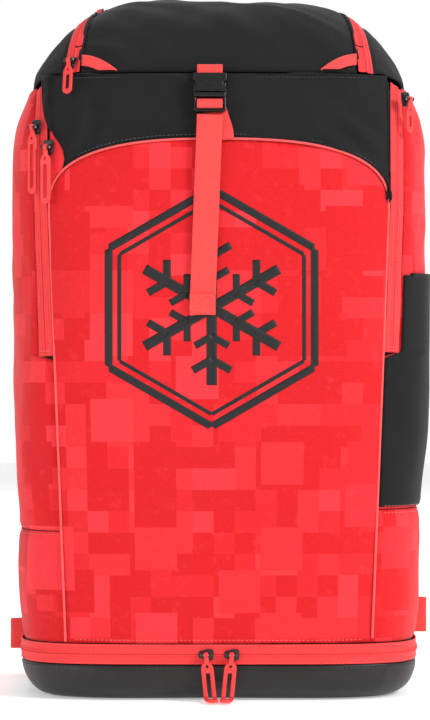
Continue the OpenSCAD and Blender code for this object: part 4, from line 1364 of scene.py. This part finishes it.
def front_print():
    """A printed badge: two nested hexagon outlines round a six-armed crystal with paired branches. Every
    stroke is a strip of cells laid on the panel's cloth."""
    centre = np.array([-5.5 * MM, 305 * MM])
    strokes = []

    def hexagon(radius, width):
        corners = [centre + radius * np.array([math.sin(k * math.pi / 3), math.cos(k * math.pi / 3)])
                   for k in range(7)]
        for k in range(6):
            run = unit(corners[k + 1] - corners[k])
            side = np.array([run[1], -run[0]])
            grow = width / 2 / math.sqrt(3)
            strokes.append((corners[k], corners[k + 1], side, width, grow))

    def arm(a, b, width):
        run = unit(b - a)
        strokes.append((a, b, np.array([run[1], -run[0]]), width, 0.0))

    hexagon(92 * MM, 6.0 * MM)
    hexagon(82.5 * MM, 3.0 * MM)
    for k in range(6):
        way = np.array([math.sin(k * math.pi / 3), math.cos(k * math.pi / 3)])
        arm(centre, centre + way * 60 * MM, 8.0 * MM)
        for out, length, width in ((22 * MM, 15 * MM, 5.5 * MM), (40 * MM, 17 * MM, 6.0 * MM)):
            foot = centre + way * out
            for turn in (-1, 1):
                b = k * math.pi / 3 + turn * math.pi / 3
                arm(foot, foot + length * np.array([math.sin(b), math.cos(b)]), width)
    verts, faces, count = [], [], 0
    for k, (a, b, side, width, grow) in enumerate(strokes):
        rows = max(3, int(np.linalg.norm(b - a) / (2.2 * MM)))
        cols = 5
        t, w = np.meshgrid(np.linspace(0, 1, rows), np.linspace(-0.5, 0.5, cols), indexing="ij")
        run = unit(b - a)
        flat = a + (b - a) * t[..., None] + side * (w * width)[..., None]
        flat = flat + run * ((t * 2 - 1) * grow * (w * 2))[..., None]
        base, n = along_front(flat[..., 0], flat[..., 1], np.zeros(flat.shape[:2]))
        lift = front_push(base) + (0.16 + 0.012 * (k % 8)) * MM
        verts.append((base + n * lift[..., None]).reshape(-1, 3))
        faces.append(grid_faces(rows, cols, start=count))
        count += rows * cols
    verts = np.vstack(verts)
    made = new_object("front_print", verts, np.vstack(faces), verts[:, [0, 2]])
    bm = bmesh.new()
    bm.from_mesh(made.data)
    for face in bm.faces:
        if face.normal.y > 0:
            face.normal_flip()
    bm.to_mesh(made.data)
    bm.free()
    skin = made.modifiers.new("ink", "SOLIDIFY")
    skin.thickness = 0.12 * MM
    skin.offset = -1
    finish(made, PRINT, "shell")


# ---------------------------------------------------------------- cinch strap and buckle

BUCKLE_Z = 470 * MM
STRAP_LOW_Z = 300 * MM
STRAP_HIGH_Z = 454.4 * MM
STRAP_HANG = 5.2 * MM


def strap_y(z, d):
    return float(-FRONT_D * wall_share(z) - d)


BUCKLE_UP = unit(np.array([0, strap_y(LID_SEAM_Z, 0) - strap_y(458 * MM, 0), LID_SEAM_Z - 458 * MM]))
BUCKLE = place_of((STRAP_X, strap_y(BUCKLE_Z, 6.5 * MM), BUCKLE_Z), (0, -1, 0), BUCKLE_UP)


def mm(points):
    return np.asarray(points, float) * MM


def rounded(points, radius=1.0, steps=4):
    """An outline in millimetres with its corners cut by short arcs: each corner becomes a quadratic
    curve between points a radius away along its two sides."""
    p = np.asarray(points, float)
    out = []
    for k in range(len(p)):
        a, b, c = p[k - 1], p[k], p[(k + 1) % len(p)]
        r = min(radius, np.linalg.norm(a - b) / 2.1, np.linalg.norm(c - b) / 2.1)
        s, e = b + unit(a - b) * r, b + unit(c - b) * r
        t = np.linspace(0, 1, steps)[:, None]
        out.append((1 - t) ** 2 * s + 2 * t * (1 - t) * b + t ** 2 * e)
    return np.vstack(out) * MM


def bar(name, place, x0, x1, z0, z1, y0, y1, edge=0.4 * MM):
    """A block with rounded edges between limits in millimetres."""
    outline = rounded([(x1, z1), (x0, z1), (x0, z0), (x1, z0)], 0.7)
    return slab(name, place, [outline], (y1 - y0) * MM, (y0 + y1) / 2 * MM, edge)


def buckle():
    """The side-release buckle: a two-walled sleeve with open sides and an hourglass relief, a ladder with
    two slots, and two sprung arms with ribbed thumb pads."""
    half = [(13, 17), (13, 11.2), (10.6, 9.6), (10.2, 7.4), (10.6, 5.2), (13, 3.8), (13, 2)]
    outline = rounded(half + [(-x, z) for x, z in half[::-1]], 0.9)
    parts = [slab("b1", BUCKLE, [outline], 1.6 * MM, -3.2 * MM, 0.5 * MM),
             slab("b2", BUCKLE, [outline], 1.6 * MM, 3.2 * MM, 0.5 * MM)]
    top = rounded([(13, 17), (-13, 17), (-13, 11.2), (13, 11.2)], 1.2)
    slot = rounded([(10.4, 15.4), (-10.4, 15.4), (-10.4, 13.2), (10.4, 13.2)], 0.6)
    parts.append(slab("b3", BUCKLE, [top, slot], 7.8 * MM, 0.0, 0.8 * MM))
    parts.append(slab("b4", BUCKLE, [rounded([(8.6, 11.6), (-8.6, 11.6), (0, 6.6)], 0.8)], 0.9 * MM,
                      -4.1 * MM, 0.3 * MM))
    parts.append(slab("b5", BUCKLE, [rounded([(7.4, 2.5), (0, 6.2), (-7.4, 2.5)], 0.8)], 0.9 * MM,
                      -4.1 * MM, 0.3 * MM))
    finish(join("buckle_female_shell", parts), PLASTIC, "shell", ["buckle_female"])
    outer = rounded([(12.5, 1.6), (-12.5, 1.6), (-12.5, -12.4), (-11.2, -14), (11.2, -14),
                     (12.5, -12.4)], 1.0)
    slots = [rounded([(10.6, z + 3.6), (-10.6, z + 3.6), (-10.6, z), (10.6, z)], 0.8)
             for z in (-11.8, -6.0)]
    parts = [slab("m1", BUCKLE, [outer] + slots, 3.6 * MM, 0.6 * MM, 0.7 * MM),
             bar("m2", BUCKLE, -12.3, 12.3, -2.2, 1.5, -2.9, 2.9, 0.7 * MM),
             bar("m3", BUCKLE, -2.4, 2.4, 1.4, 10.4, -1.4, 1.4)]
    parts += [bar(f"m4_{k}", BUCKLE, -10, 10, -13.6 + 0.75 * k, -13.2 + 0.75 * k, -1.7, -1.0, 0.1 * MM)
              for k in range(3)]
    finish(join("buckle_male_ladder", parts), PLASTIC, "buckle", ["buckle_male"])
    for side, sign in (("left", -1), ("right", 1)):
        arm = rounded([(sign * 9.6, 10.3), (sign * 7, 9.2), (sign * 7, 1.9), (sign * 8.6, 1.9),
                       (sign * 9.4, 5.2)], 0.5)
        parts = [slab("l1", BUCKLE, [arm], 2.8 * MM, 0.0, 0.3 * MM),
                 bar("l2", BUCKLE, min(sign * 9.4, sign * 12.3), max(sign * 9.4, sign * 12.3), 5.3,
                     10.0, -1.9, 1.9)]
        parts += [bar(f"l3_{k}", BUCKLE, min(sign * 12.1, sign * 12.5), max(sign * 12.1, sign * 12.5),
                      6.0 + 1.3 * k, 6.5 + 1.3 * k, -1.6, 1.6, 0.1 * MM) for k in range(3)]
        finish(join(f"buckle_latch_{side}_arm", parts), PLASTIC, f"latch_{side}",
               [f"buckle_latch_{side}"])


def box_stitch(name, corner, across, up, out, width, height):
    """A box of stitches with a cross in it, on a folded webbing end."""
    c = [corner, corner + across * width, corner + across * width + up * height, corner + up * height]
    lines = [(c[0], c[1]), (c[1], c[2]), (c[2], c[3]), (c[3], c[0]), (c[0], c[2]), (c[1], c[3])]
    rows = [stitches(f"{name}_{k}", a + (b - a) * np.linspace(0, 1, 12)[:, None], out, 2.2 * MM,
                     1.6 * MM, 0.26 * MM) for k, (a, b) in enumerate(lines)]
    return join(name, rows)


def cinch_strap():
    """Coral webbing: the sewn loop above the buckle, the turn round the ladder, the rear leg down to the
    arch seam, and the free tail with a folded, box-stitched end."""
    across = np.array([1.0, 0, 0])
    y = strap_y(LID_SEAM_Z, 0)
    pts = np.array([(STRAP_X, y - 1.2 * MM, 484 * MM), (STRAP_X, y - 1.3 * MM, 488 * MM),
                    (STRAP_X, y - 0.8 * MM, 491.5 * MM), (STRAP_X, y - 2.2 * MM, 494 * MM),
                    (STRAP_X, y - 4.6 * MM, 492.6 * MM), (STRAP_X, y - 6.6 * MM, 488.6 * MM),
                    (STRAP_X, y - 7.4 * MM, 486.2 * MM)])
    loop = finish(webbing("strap_loop_webbing", pts, across, step=1.2 * MM, thick=1.3 * MM), WEBBING)
    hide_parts("strap_loop")
    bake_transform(loop)
    turn = put(BUCKLE, mm([(0, 2.6, -3.4), (0, 0.6, -3.9), (0, -1.9, -4.6), (0, -2.9, -6.4),
                           (0, -3.0, -8.4), (0, -2.4, -10.4), (0, -0.4, -11.2), (0, 2.2, -11.0)]))
    finish(webbing("cinch_strap_turn", turn, across, step=1.0 * MM, thick=1.3 * MM), WEBBING,
           "buckle")
    low = ARCH_Z - 1.5 * MM
    leg = np.array([(STRAP_X + 9 * MM, strap_y(low, 0.9 * MM), low),
                    (STRAP_X + 8 * MM, strap_y(442 * MM, 2.0 * MM), 442 * MM),
                    (STRAP_X + 5.5 * MM, strap_y(450 * MM, 2.8 * MM), 450 * MM),
                    (STRAP_X + 3 * MM, strap_y(458 * MM, 3.0 * MM), 458 * MM)])
    rear = finish(webbing("cinch_strap_rear_leg", leg, across, thick=1.2 * MM), WEBBING)
    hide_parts("cinch_strap_anchor")
    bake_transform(rear)
    z = np.linspace(STRAP_HIGH_Z, STRAP_LOW_Z + 1.5 * MM, 9)
    share = (STRAP_HIGH_Z - z) / (STRAP_HIGH_Z - STRAP_LOW_Z)
    y = -FRONT_D - STRAP_HANG - 0.5 * MM * np.sin(share * 5.0)
    tail = np.stack([STRAP_X - 6 * MM * share, y, z], -1)
    parts = [webbing("t1", tail, across, step=1.6 * MM)]
    lowest = tail[-1]
    fold = lowest + np.array([(0.2, 0.5, -0.9), (0.4, -0.9, -1.5), (0.5, -2.1, -0.6), (0.4, -2.0, 4.0),
                              (0.3, -1.9, 14.5)]) * MM
    parts.append(webbing("t2", np.vstack([lowest + [0, 0, 0.4 * MM], fold]), across, step=0.9 * MM,
                         thick=1.3 * MM))
    strap = join("cinch_strap_tail_webbing", parts)
    finish(strap, WEBBING, "cinch_tail", ["cinch_strap_tail"])
    corner = lowest + np.array([-8.2, -2.8, 1.5]) * MM
    finish(box_stitch("cinch_strap_tail_stitches", corner, across, np.array([0, 0.0, 1.0]),
                      np.array([0, -1.0, 0]), 16.6 * MM, 11 * MM), CORAL_THREAD,
           "cinch_tail")


# ---------------------------------------------------------------- sliders and pulls

PIN_OUT = 6.2 * MM
EYE_R = 1.75 * MM


def slider(name, place, body, node, across_run=False):
    """A zip slider: a shield-shaped lower plate, a smaller raised plate, a bridge with two cheeks, and a
    bright pin through them."""
    shield = [(4.4, 5.8), (-4.4, 5.8), (-4.6, 1.5), (-2.9, -5.8), (2.9, -5.8), (4.6, 1.5)]
    if across_run:
        shield = [(z * 1.0, x * 0.95) for x, z in shield[::-1]]
    parts = [slab("s1", place, [rounded(shield, 1.6)], 1.5 * MM, -1.6 * MM, 0.5 * MM),
             slab("s2", place, [rounded(np.array(shield) * 0.8, 1.6)], 1.3 * MM, -2.8 * MM, 0.5 * MM)]
    for side in (-1, 1):
        cheek = np.array([(y, z) for y, z in [(-7.6, 1.4), (-7.9, 0), (-7.6, -1.4), (-5.6, -2.0),
                                              (-2.6, -2.2), (-2.6, 2.2), (-5.6, 2.0)]])
        flat = rounded(cheek[::-1], 0.7)
        turned = (place[0] + place[1] * (side * 3.1 * MM), place[2], -place[1], place[3])
        parts.append(slab(f"s3_{side}", turned, [flat], 1.9 * MM, 0.0, 0.4 * MM))
    whole = join(f"{name}_cast", parts)
    finish(whole, LACQUER, body, [node])
    pin = put(place, np.stack([np.linspace(-4.2, 4.2, 9) * MM, np.full(9, -PIN_OUT), np.zeros(9)], -1))
    finish(tube(f"{name}_pin", pin, 0.88 * MM, 12), STEEL, body)


def pull_eye(place):
    """The ring round the pin: a thin round-cornered band carried once round."""
    t = np.linspace(0, 2 * math.pi, 25)
    ring = put(place, np.stack([np.zeros_like(t), -PIN_OUT + EYE_R * np.cos(t), EYE_R * np.sin(t)], -1))
    run = unit(np.gradient(ring, axis=0))
    side = np.broadcast_to(place[1], ring.shape)
    return sweep("eye", ring, side, unit(np.cross(run, side)), round_rect(3.4 * MM, 1.05 * MM, 0.4 * MM))


def round_tip(half, length):
    """The half circle at a pull's end, in millimetres."""
    return [(half * math.cos(t), -length + half + half * math.sin(t))
            for t in np.linspace(-math.pi, 0, 13)]


def pull_outline(length, width):
    """Outlines of a pull in millimetres: a neck under the eye that widens to a grip with a slot and a
    round tip, and a small round hole at the neck."""
    h = width / 2
    tip = round_tip(h, length)
    left = [(-h, -10.5), (-h * 0.86, -8.2), (-1.8, -5.6), (-1.8, -1.2)]
    outer = np.array([(1.8, -1.2), (1.8, -5.6), (h * 0.86, -8.2), (h, -10.5)] + tip[::-1] + left)
    slot = rounded([(1.5, -13.0), (-1.5, -13.0), (-1.5, -length + h), (1.5, -length + h)], 1.4)
    t = np.linspace(0, 2 * math.pi, 12, endpoint=False)
    hole = np.stack([1.0 * np.cos(t), -8.7 + 1.0 * np.sin(t)], -1) * MM
    return [outer * MM, slot, hole]


def pull(name, place, length, width, body, node, thick=2.3):
    """A moulded pull: an eye round the pin and a slotted grip with rounded edges."""
    loops = pull_outline(length, width)
    parts = [slab("p1", place, loops, thick * MM, -PIN_OUT, 0.7 * MM)]
    whole = join(f"{name}_grip", parts + [pull_eye(place)])
    return finish(whole, RUBBER, body, [node])


def side_place(z, share, left):
    """A side slider's place: above the dome's start it stays in line with the straight zip below."""
    low = min(z, DOME_Z)
    at = wall(front_angle(panel_edge(low) + GAP + BAND_W * share, low), low)
    at = at * (1 + 1 * MM / np.linalg.norm(at[:2])) * [1, 1, 0] + [0, 0, low + max(0, z - DOME_Z)]
    a = front_angle(panel_edge(DOME_Z) + GAP + BAND_W * share, DOME_Z)
    e = math.radians(0.5)
    run = wall(a + e, DOME_Z) - wall(a - e, DOME_Z)
    out = unit(np.array([run[1], -run[0], 0]))
    if left:
        at, out = at * [-1, 1, 1], out * [-1, 1, 1]
    return place_of(at, out, (0, 0, 1))


def lid_place(s, turn):
    """A lid slider's place on the left run of the zip, and its pull's."""
    c = lid_outline(np.array(s))
    foot = crown(c[0], c[1])
    out = crown_normal(c[0], c[1])
    d = lid_outline(np.array(s - 0.02))
    run = unit(crown(d[0], d[1]) - foot)
    flip = np.array([-1.0, 1, 1])
    at = foot + out * 1 * MM
    return place_of(at * flip, out * flip, run * flip * turn)


def tilted(place, degrees):
    """The place turned about the pull's pin, its tip towards the bag."""
    o, x, y, z = place
    pin = o - y * PIN_OUT
    t = math.radians(degrees)
    y2, z2 = y * math.cos(t) + z * math.sin(t), z * math.cos(t) - y * math.sin(t)
    return pin + y2 * PIN_OUT, x, y2, z2


def base_slider_and_pull(side, sign):
    """A slider across the base zip with a pull that hangs over the tray and bends forward on the floor:
    the flat pull's outline is carried along a quarter circle between its upright and level runs."""
    z = TRAY_H + BASE_ZIP_H / 2
    place = place_of((sign * 10 * MM, float(-FRONT_D * wall_share(z)) - 0.8 * MM, z), (0, -1, 0),
                     (0, 0, 1))
    slider(f"base_slider_{side}", place, f"base_slider_{side}", f"base_slider_{side}", across_run=True)
    flat = (np.zeros(3), np.array([1.0, 0, 0]), np.array([0, 1.0, 0]), np.array([0, 0, 1.0]))
    length = 52.0
    h = 4.9
    tip = round_tip(h, length)
    down = np.linspace(-10.5, -length + h, 34)[1:-1]
    neck = [(1.8, -1.2), (1.8, -5.6), (h * 0.9, -8.2), (h, -10.5)]
    right = neck + [(h, q) for q in down]
    outer = right + tip[::-1] + [(-x, q) for x, q in right[::-1]]
    q = np.linspace(-14, -length + 10, 24)
    slot = np.array([(1.6, v) for v in q] + [(-1.6, v) for v in q[::-1]])
    t = np.linspace(0, 2 * math.pi, 12, endpoint=False)
    hole = np.stack([1.1 * np.cos(t), -8.9 + 1.1 * np.sin(t)], -1)
    made = slab(f"base_pull_{side}_grip", flat, [np.array(outer) * MM, slot * MM, hole * MM], 2.3 * MM,
                0.0, 0.7 * MM)
    co = np.zeros(len(made.data.vertices) * 3)
    made.data.vertices.foreach_get("co", co)
    co = co.reshape(-1, 3)
    s, off = -co[:, 2], co[:, 1]
    radius, drop = 7.0 * MM, 33.8 * MM
    straight = drop - radius
    turn = np.clip((s - straight) / radius, 0, math.pi / 2)
    level = np.maximum(s - straight - radius * math.pi / 2, 0)
    y = -radius * (1 - np.cos(turn)) - level + off * np.cos(turn)
    down = np.minimum(s, straight) + (radius - off) * np.sin(turn)
    lean = -0.1 * sign * s
    local = np.stack([co[:, 0] + lean, -PIN_OUT + y, -down], -1)
    made.data.vertices.foreach_set("co", put(place, local).ravel())
    made.data.update()
    recalc(made)
    whole = join(f"base_pull_{side}_grip", [made, pull_eye(place)])
    finish(whole, RUBBER, f"base_pull_{side}", [f"base_pull_{side}"])


def sliders_and_pulls():
    for name, z, share, left, length, width in (("outer", 446, 0.62, True, 52, 9),
                                                ("inner", 430, -0.12, True, 44, 9),
                                                ("right", 468, 0.85, False, 26, 8)):
        place = side_place(z * MM, share, left)
        slider(f"side_slider_{name}", place, f"side_slider_{name}", f"side_slider_{name}")
        pull(f"side_pull_{name}", place, length, width, f"side_pull_{name}", f"side_pull_{name}")
    slider("lid_slider_front", lid_place(0.992, 1), "lid_slider_front", "lid_slider_front")
    pull("lid_pull_front", tilted(lid_place(0.992, 1), 10), 30, 8, "lid_pull_front", "lid_pull_front")
    slider("lid_slider_rear", lid_place(0.735, 1), "lid_slider_rear", "lid_slider_rear")
    pull("lid_pull_rear", lid_place(0.735, -1), 24, 8, "lid_pull_rear", "lid_pull_rear")
    base_slider_and_pull("left", -1)
    base_slider_and_pull("right", 1)


# ---------------------------------------------------------------- corner tabs

def corner_tab(side, left):
    """Slanted webbing tab from the lid's seam to the zip tape: ribs run along it."""
    u, v = grid(40, 44)
    seam = LID_SEAM_Z + 2 * MM

    def plan_of(x, z):
        x, z = np.broadcast_arrays(x, z)
        return wall(front_angle(x, z), z)[..., :2]

    low = plan_of(mix(94 * MM, 79 * MM, v), np.full_like(v, seam))
    high = plan_of(np.full_like(v, 107 * MM), mix(494 * MM, 503 * MM, v))
    plan = mix(low, high, u[..., None])
    if left:
        plan = mirrored(plan)
    p = crown(plan[..., 0], plan[..., 1])
    rib = 0.16 * MM * np.abs(np.sin(v * math.pi * 6))
    rim = 0.5 * MM * np.exp(-(edge_distance(p) / (0.8 * MM)) ** 2)
    push = np.maximum(lid_wave(p), 0) + 1.6 * MM + rib - rim
    made = crown_panel(f"corner_tab_{side}_webbing", plan, push, 1.3 * MM)
    finish(made, WEBBING, "lid", [f"corner_tab_{side}"])


piping_and_seams()
front_print()
buckle()
cinch_strap()
sliders_and_pulls()
corner_tab("right", False)
corner_tab("left", True)


# ---------------------------------------------------------------- harness

def puffed(name, made, cell, pressure=4.0, cap=3.0 * MM):
    """Padded fabric: the closed form is remeshed into even cells and blown up a little as cloth; each
    point moves by the cap at most, so the pad keeps its plan."""
    again = made.modifiers.new("even cells", "REMESH")
    again.mode = "VOXEL"
    again.voxel_size = cell
    deps = bpy.context.evaluated_depsgraph_get()
    mesh = bpy.data.meshes.new_from_object(made.evaluated_get(deps))
    made.modifiers.clear()
    made.data = mesh
    count = len(mesh.vertices)
    start = np.zeros(count * 3)
    mesh.vertices.foreach_get("co", start)
    start = start.reshape(-1, 3)
    cloth = made.modifiers.new("air", "CLOTH")
    cloth.settings.use_pressure = True
    cloth.settings.uniform_pressure_force = pressure
    cloth.settings.effector_weights.gravity = 0
    cloth.settings.quality = 4
    cloth.settings.tension_stiffness = 25
    cloth.settings.compression_stiffness = 25
    cloth.settings.bending_stiffness = 2
    cloth.point_cache.frame_start = 1
    cloth.point_cache.frame_end = 20
    scene = bpy.context.scene
    for frame_number in range(1, 21):
        scene.frame_set(frame_number)
    deps = bpy.context.evaluated_depsgraph_get()
    blown = np.zeros(count * 3)
    made.evaluated_get(deps).data.vertices.foreach_get("co", blown)
    made.modifiers.clear()
    scene.frame_set(1)
    move = blown.reshape(-1, 3) - start
    long = np.linalg.norm(move, axis=1, keepdims=True)
    start = start + move * np.minimum(1, cap / np.maximum(long, 1e-9))
    made.data.vertices.foreach_set("co", start.ravel())
    made.data.polygons.foreach_set("use_smooth", [True] * len(made.data.polygons))
    made.data.update()
    fine = made.modifiers.new("smooth", "SUBSURF")
    fine.levels = fine.render_levels = 1
    made.name = made.data.name = name
    return made


def closed_grid(name, outer, inner):
    """A closed form between two grids of the same size, joined along their edges."""
    m, n = outer.shape[:2]
    faces = grid_faces(m, n).tolist()
    faces += [tuple(reversed(f)) for f in grid_faces(m, n, start=m * n).tolist()]
    low, right = list(range(n)), [r * n + n - 1 for r in range(1, m)]
    high, left = [(m - 1) * n + k for k in range(n - 2, -1, -1)], [r * n for r in range(m - 2, 0, -1)]
    rim = low + right + high + left
    for a, b in zip(rim, rim[1:] + rim[:1]):
        faces.append((b, a, a + m * n, b + m * n))
    made = new_object(name, np.vstack([outer.reshape(-1, 3), inner.reshape(-1, 3)]), faces)
    recalc(made)
    return made


def back_pad(name, a0, a1, z0, z1, thick, node):
    """A foam back pad: its height is a full round at the rim and dips along two quilting grooves."""
    u, v = grid(60, 90)
    a = np.radians(mix(a0, a1, u))
    z = mix(z0, z1, v) * MM
    rim = np.sin(math.pi * u).clip(0) ** 0.35 * np.sin(math.pi * v).clip(0) ** 0.25
    grooves = sum(np.exp(-(((v - g) * (z1 - z0) - 10 * np.abs(u - 0.5)) / 4.0) ** 2)
                  for g in (0.36, 0.66)) if z1 - z0 > 150 else np.exp(-(((u - 0.5) * 260) / 5.0) ** 2)
    push = (2.4 + thick * rim * (1 - 0.42 * grooves)) * MM
    p, n = wall(a, z), wall_normal(a, z)
    made = closed_grid(name, p + n * push[..., None], p + n * 1.2 * MM)
    made = puffed(name, made, 5 * MM, cap=1.6 * MM)
    finish(made, BLACK_MESH, "shell", [node])
    t = np.linspace(0, 1, 60)
    rim_a = np.concatenate([mix(a0, a1, t), np.full(60, a1), mix(a1, a0, t), np.full(60, a0)])
    rim_z = np.concatenate([np.full(60, z0), mix(z0, z1, t), np.full(60, z1), mix(z1, z0, t)]) * MM
    rim_a = np.radians(rim_a)
    edge = wall(rim_a, rim_z) + wall_normal(rim_a, rim_z) * 2.2 * MM
    finish(tube(f"{name}_binding", resample(edge[::5], 3 * MM), 1.5 * MM, 8), BINDING,
           "shell")


def shoulder_line(t):
    """Middle line of the right shoulder strap."""
    t = np.asarray(t, float)
    s = np.sin(math.pi * t).clip(0)
    return np.stack([mix(44, 112, t) + 26 * s, 124 + 12 + 40 * s ** 0.8 - 2 * t, mix(426, 190, t)],
                    -1) * MM


def shoulder_strap(side, sign):
    """A padded strap: a flat oval section carried along a bowed line, with binding round its edge and a
    webbing line sewn down its middle."""
    t = np.linspace(0, 1, 90)
    mid = shoulder_line(t)
    run = unit(np.gradient(mid, axis=0))
    across = unit(np.cross([0, 1.0, 0], run))
    out = unit(np.cross(run, across))
    half = mix(32, 22, t) * MM
    a = np.linspace(0, 2 * math.pi, 48, endpoint=False)
    prof = np.stack([np.sign(np.cos(a)) * np.abs(np.cos(a)) ** 0.55,
                     np.sign(np.sin(a)) * np.abs(np.sin(a)) ** 0.8], -1)
    prof = prof[None] * np.stack([half - 1.2 * MM, np.full_like(half, 6.3 * MM)], -1)[:, None]
    flip = np.array([sign, 1.0, 1.0])
    made = sweep(f"shoulder_strap_{side}_core", mid * flip, across * flip, out * flip, prof)
    made = puffed(f"shoulder_strap_{side}_pad", made, 5 * MM, cap=1.4 * MM)
    finish(made, BLACK_MESH, f"strap_{side}", [f"shoulder_strap_{side}"])
    edges = [mid + across * (half[:, None] - 1.0 * MM),
             mid[::-1] - across[::-1] * (half[::-1, None] - 1.0 * MM)]
    loop = np.vstack([edges[0], edges[1], edges[0][:1]]) * flip
    finish(tube(f"shoulder_strap_{side}_binding", resample(loop[::4], 3 * MM), 1.7 * MM, 8), BINDING,
           f"strap_{side}")
    lift = 8.7 * MM
    top = (mid + out * (lift if out[45, 1] > 0 else -lift))[6:86]
    finish(webbing(f"shoulder_strap_{side}_webbing", top[::6] * flip, across[45] * flip, width=24 * MM,
                   thick=1.4 * MM), WEBBING, f"strap_{side}")
    end = mid[-1]
    lock = end + np.array([3, 0, -16.5]) * MM
    hang = np.array([end + [0, 1.5 * MM, 6 * MM], end + [1 * MM, 2.0 * MM, -4 * MM],
                     lock + [0.8 * MM, 1.2 * MM, 5.5 * MM], lock + [1.2 * MM, -1.0 * MM, 1.5 * MM]])
    finish(webbing(f"shoulder_strap_{side}_lock_web", hang * flip, np.array([1.0, 0, 0.2]) * flip,
                   width=21 * MM, thick=1.2 * MM, step=1.5 * MM), WEBBING,
           f"strap_{side}")
    turn = math.radians(-12)
    up = np.array([math.sin(turn), 0, math.cos(turn)])
    place = place_of(lock * flip, (0, 1, 0), up * flip)
    outline = rounded([(15, 10), (-15, 10), (-15, -10), (15, -10)], 2.5)
    slots = [rounded([(11, z + 4), (-11, z + 4), (-11, z), (11, z)], 0.8) for z in (-6, 0.5)]
    ridge = [bar(f"r{k}", place, -11, 11, -9 + 0.9 * k, -8.4 + 0.9 * k, -2.9, -2.0, 0.15 * MM)
             for k in range(2)]
    lock_piece = join(f"ladder_lock_{side}_frame",
                      [slab("frame", place, [outline] + slots, 4.6 * MM, 0.0, 0.9 * MM)] + ridge)
    finish(lock_piece, PLASTIC, f"strap_{side}", [f"ladder_lock_{side}"])


def harness_foot(side, sign, foot_z, z0, z1):
    """Webbing from the ladder lock to a folded wing sewn in the lower back corner."""
    flip = np.array([sign, 1.0, 1.0])
    top = shoulder_line(1.0) + np.array([6, 2, -32.5]) * MM
    foot = np.array([152 * MM, BACK_D + 2 * MM, foot_z * MM])
    way = unit(top - foot)
    across = unit(np.cross(way, [0, 1.0, 0]))
    t = np.linspace(0, 1, 12)[:, None]
    sag = np.sin(math.pi * t) * np.array([0, 2.0, 0]) * MM
    pts = (foot + (top - foot) * t + sag) * flip
    web = finish(webbing(f"lower_webbing_{side}_strap", pts, across * flip, width=24 * MM), WEBBING)
    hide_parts(f"lower_webbing_{side}")
    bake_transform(web)
    wing = np.array([(139, 120.5), (152, 122.3), (164, 119), (173.5, 115.2), (176, 113.2), (173, 111.6),
                     (160, 112), (140, 113.4)]) * MM
    ring = np.stack([np.append(wing[:, 0], wing[-1, 0]), np.append(wing[:, 1], wing[-1, 1]),
                     np.zeros(len(wing) + 1)], -1)
    path = ring * flip + np.array([0, 0, (z0 + z1) / 2 * MM])
    fold = webbing(f"anchor_wing_{side}_fold", path, np.array([0, 0, 1.0]),
                   width=(z1 - z0) * MM - 0.6 * MM, thick=1.4 * MM, step=1.6 * MM, ribs=12)
    finish(fold, WEBBING, "shell", [f"anchor_wing_{side}"])
    inner = np.array([(142, 117.5), (156, 118), (168, 115.6), (172.5, 114.2)]) * MM
    fill = np.stack([inner[:, 0], inner[:, 1], np.zeros(4)],
                    -1) * flip + np.array([0, 0, (z0 + z1) / 2 * MM])
    finish(webbing(f"anchor_wing_{side}_core", fill, np.array([0, 0, 1.0]),
                   width=(z1 - z0) * MM - 2 * MM, thick=1.8 * MM, step=2 * MM), PLAIN_CORAL,
           "shell")


def haul_loop():
    """A thick flat webbing loop that hangs from the shoulder seam."""
    t = np.radians(np.linspace(-90, 90, 25))
    path = np.stack([34 * np.sin(t), np.full_like(t, 136), 468 - 28 * np.cos(t)], -1) * MM
    path = np.vstack([path[0] + [0, 0, 4 * MM], path, path[-1] + [0, 0, 4 * MM]])
    finish(webbing("haul_handle_webbing", path, np.array([0, 1.0, 0]), thick=2.8 * MM, step=2 * MM),
           WEBBING, "haul_loop", ["haul_handle"])


back_pad("back_pad_right_foam", 55, 84, 175, 420, 12, "back_pad_right")
back_pad("back_pad_left_foam", 96, 125, 175, 420, 12, "back_pad_left")
back_pad("lumbar_pad_foam", 53, 127, 70, 165, 16, "lumbar_pad")
shoulder_strap("right", 1)
shoulder_strap("left", -1)
harness_foot("right", 1, 60, 34, 64)
harness_foot("left", -1, 44, 20, 46)
haul_loop()
repaint(BOARD, "base_board", "frame_sheet")
repaint(LINING, "floor_panel")


bpy.context.scene.view_settings.view_transform = "Standard"
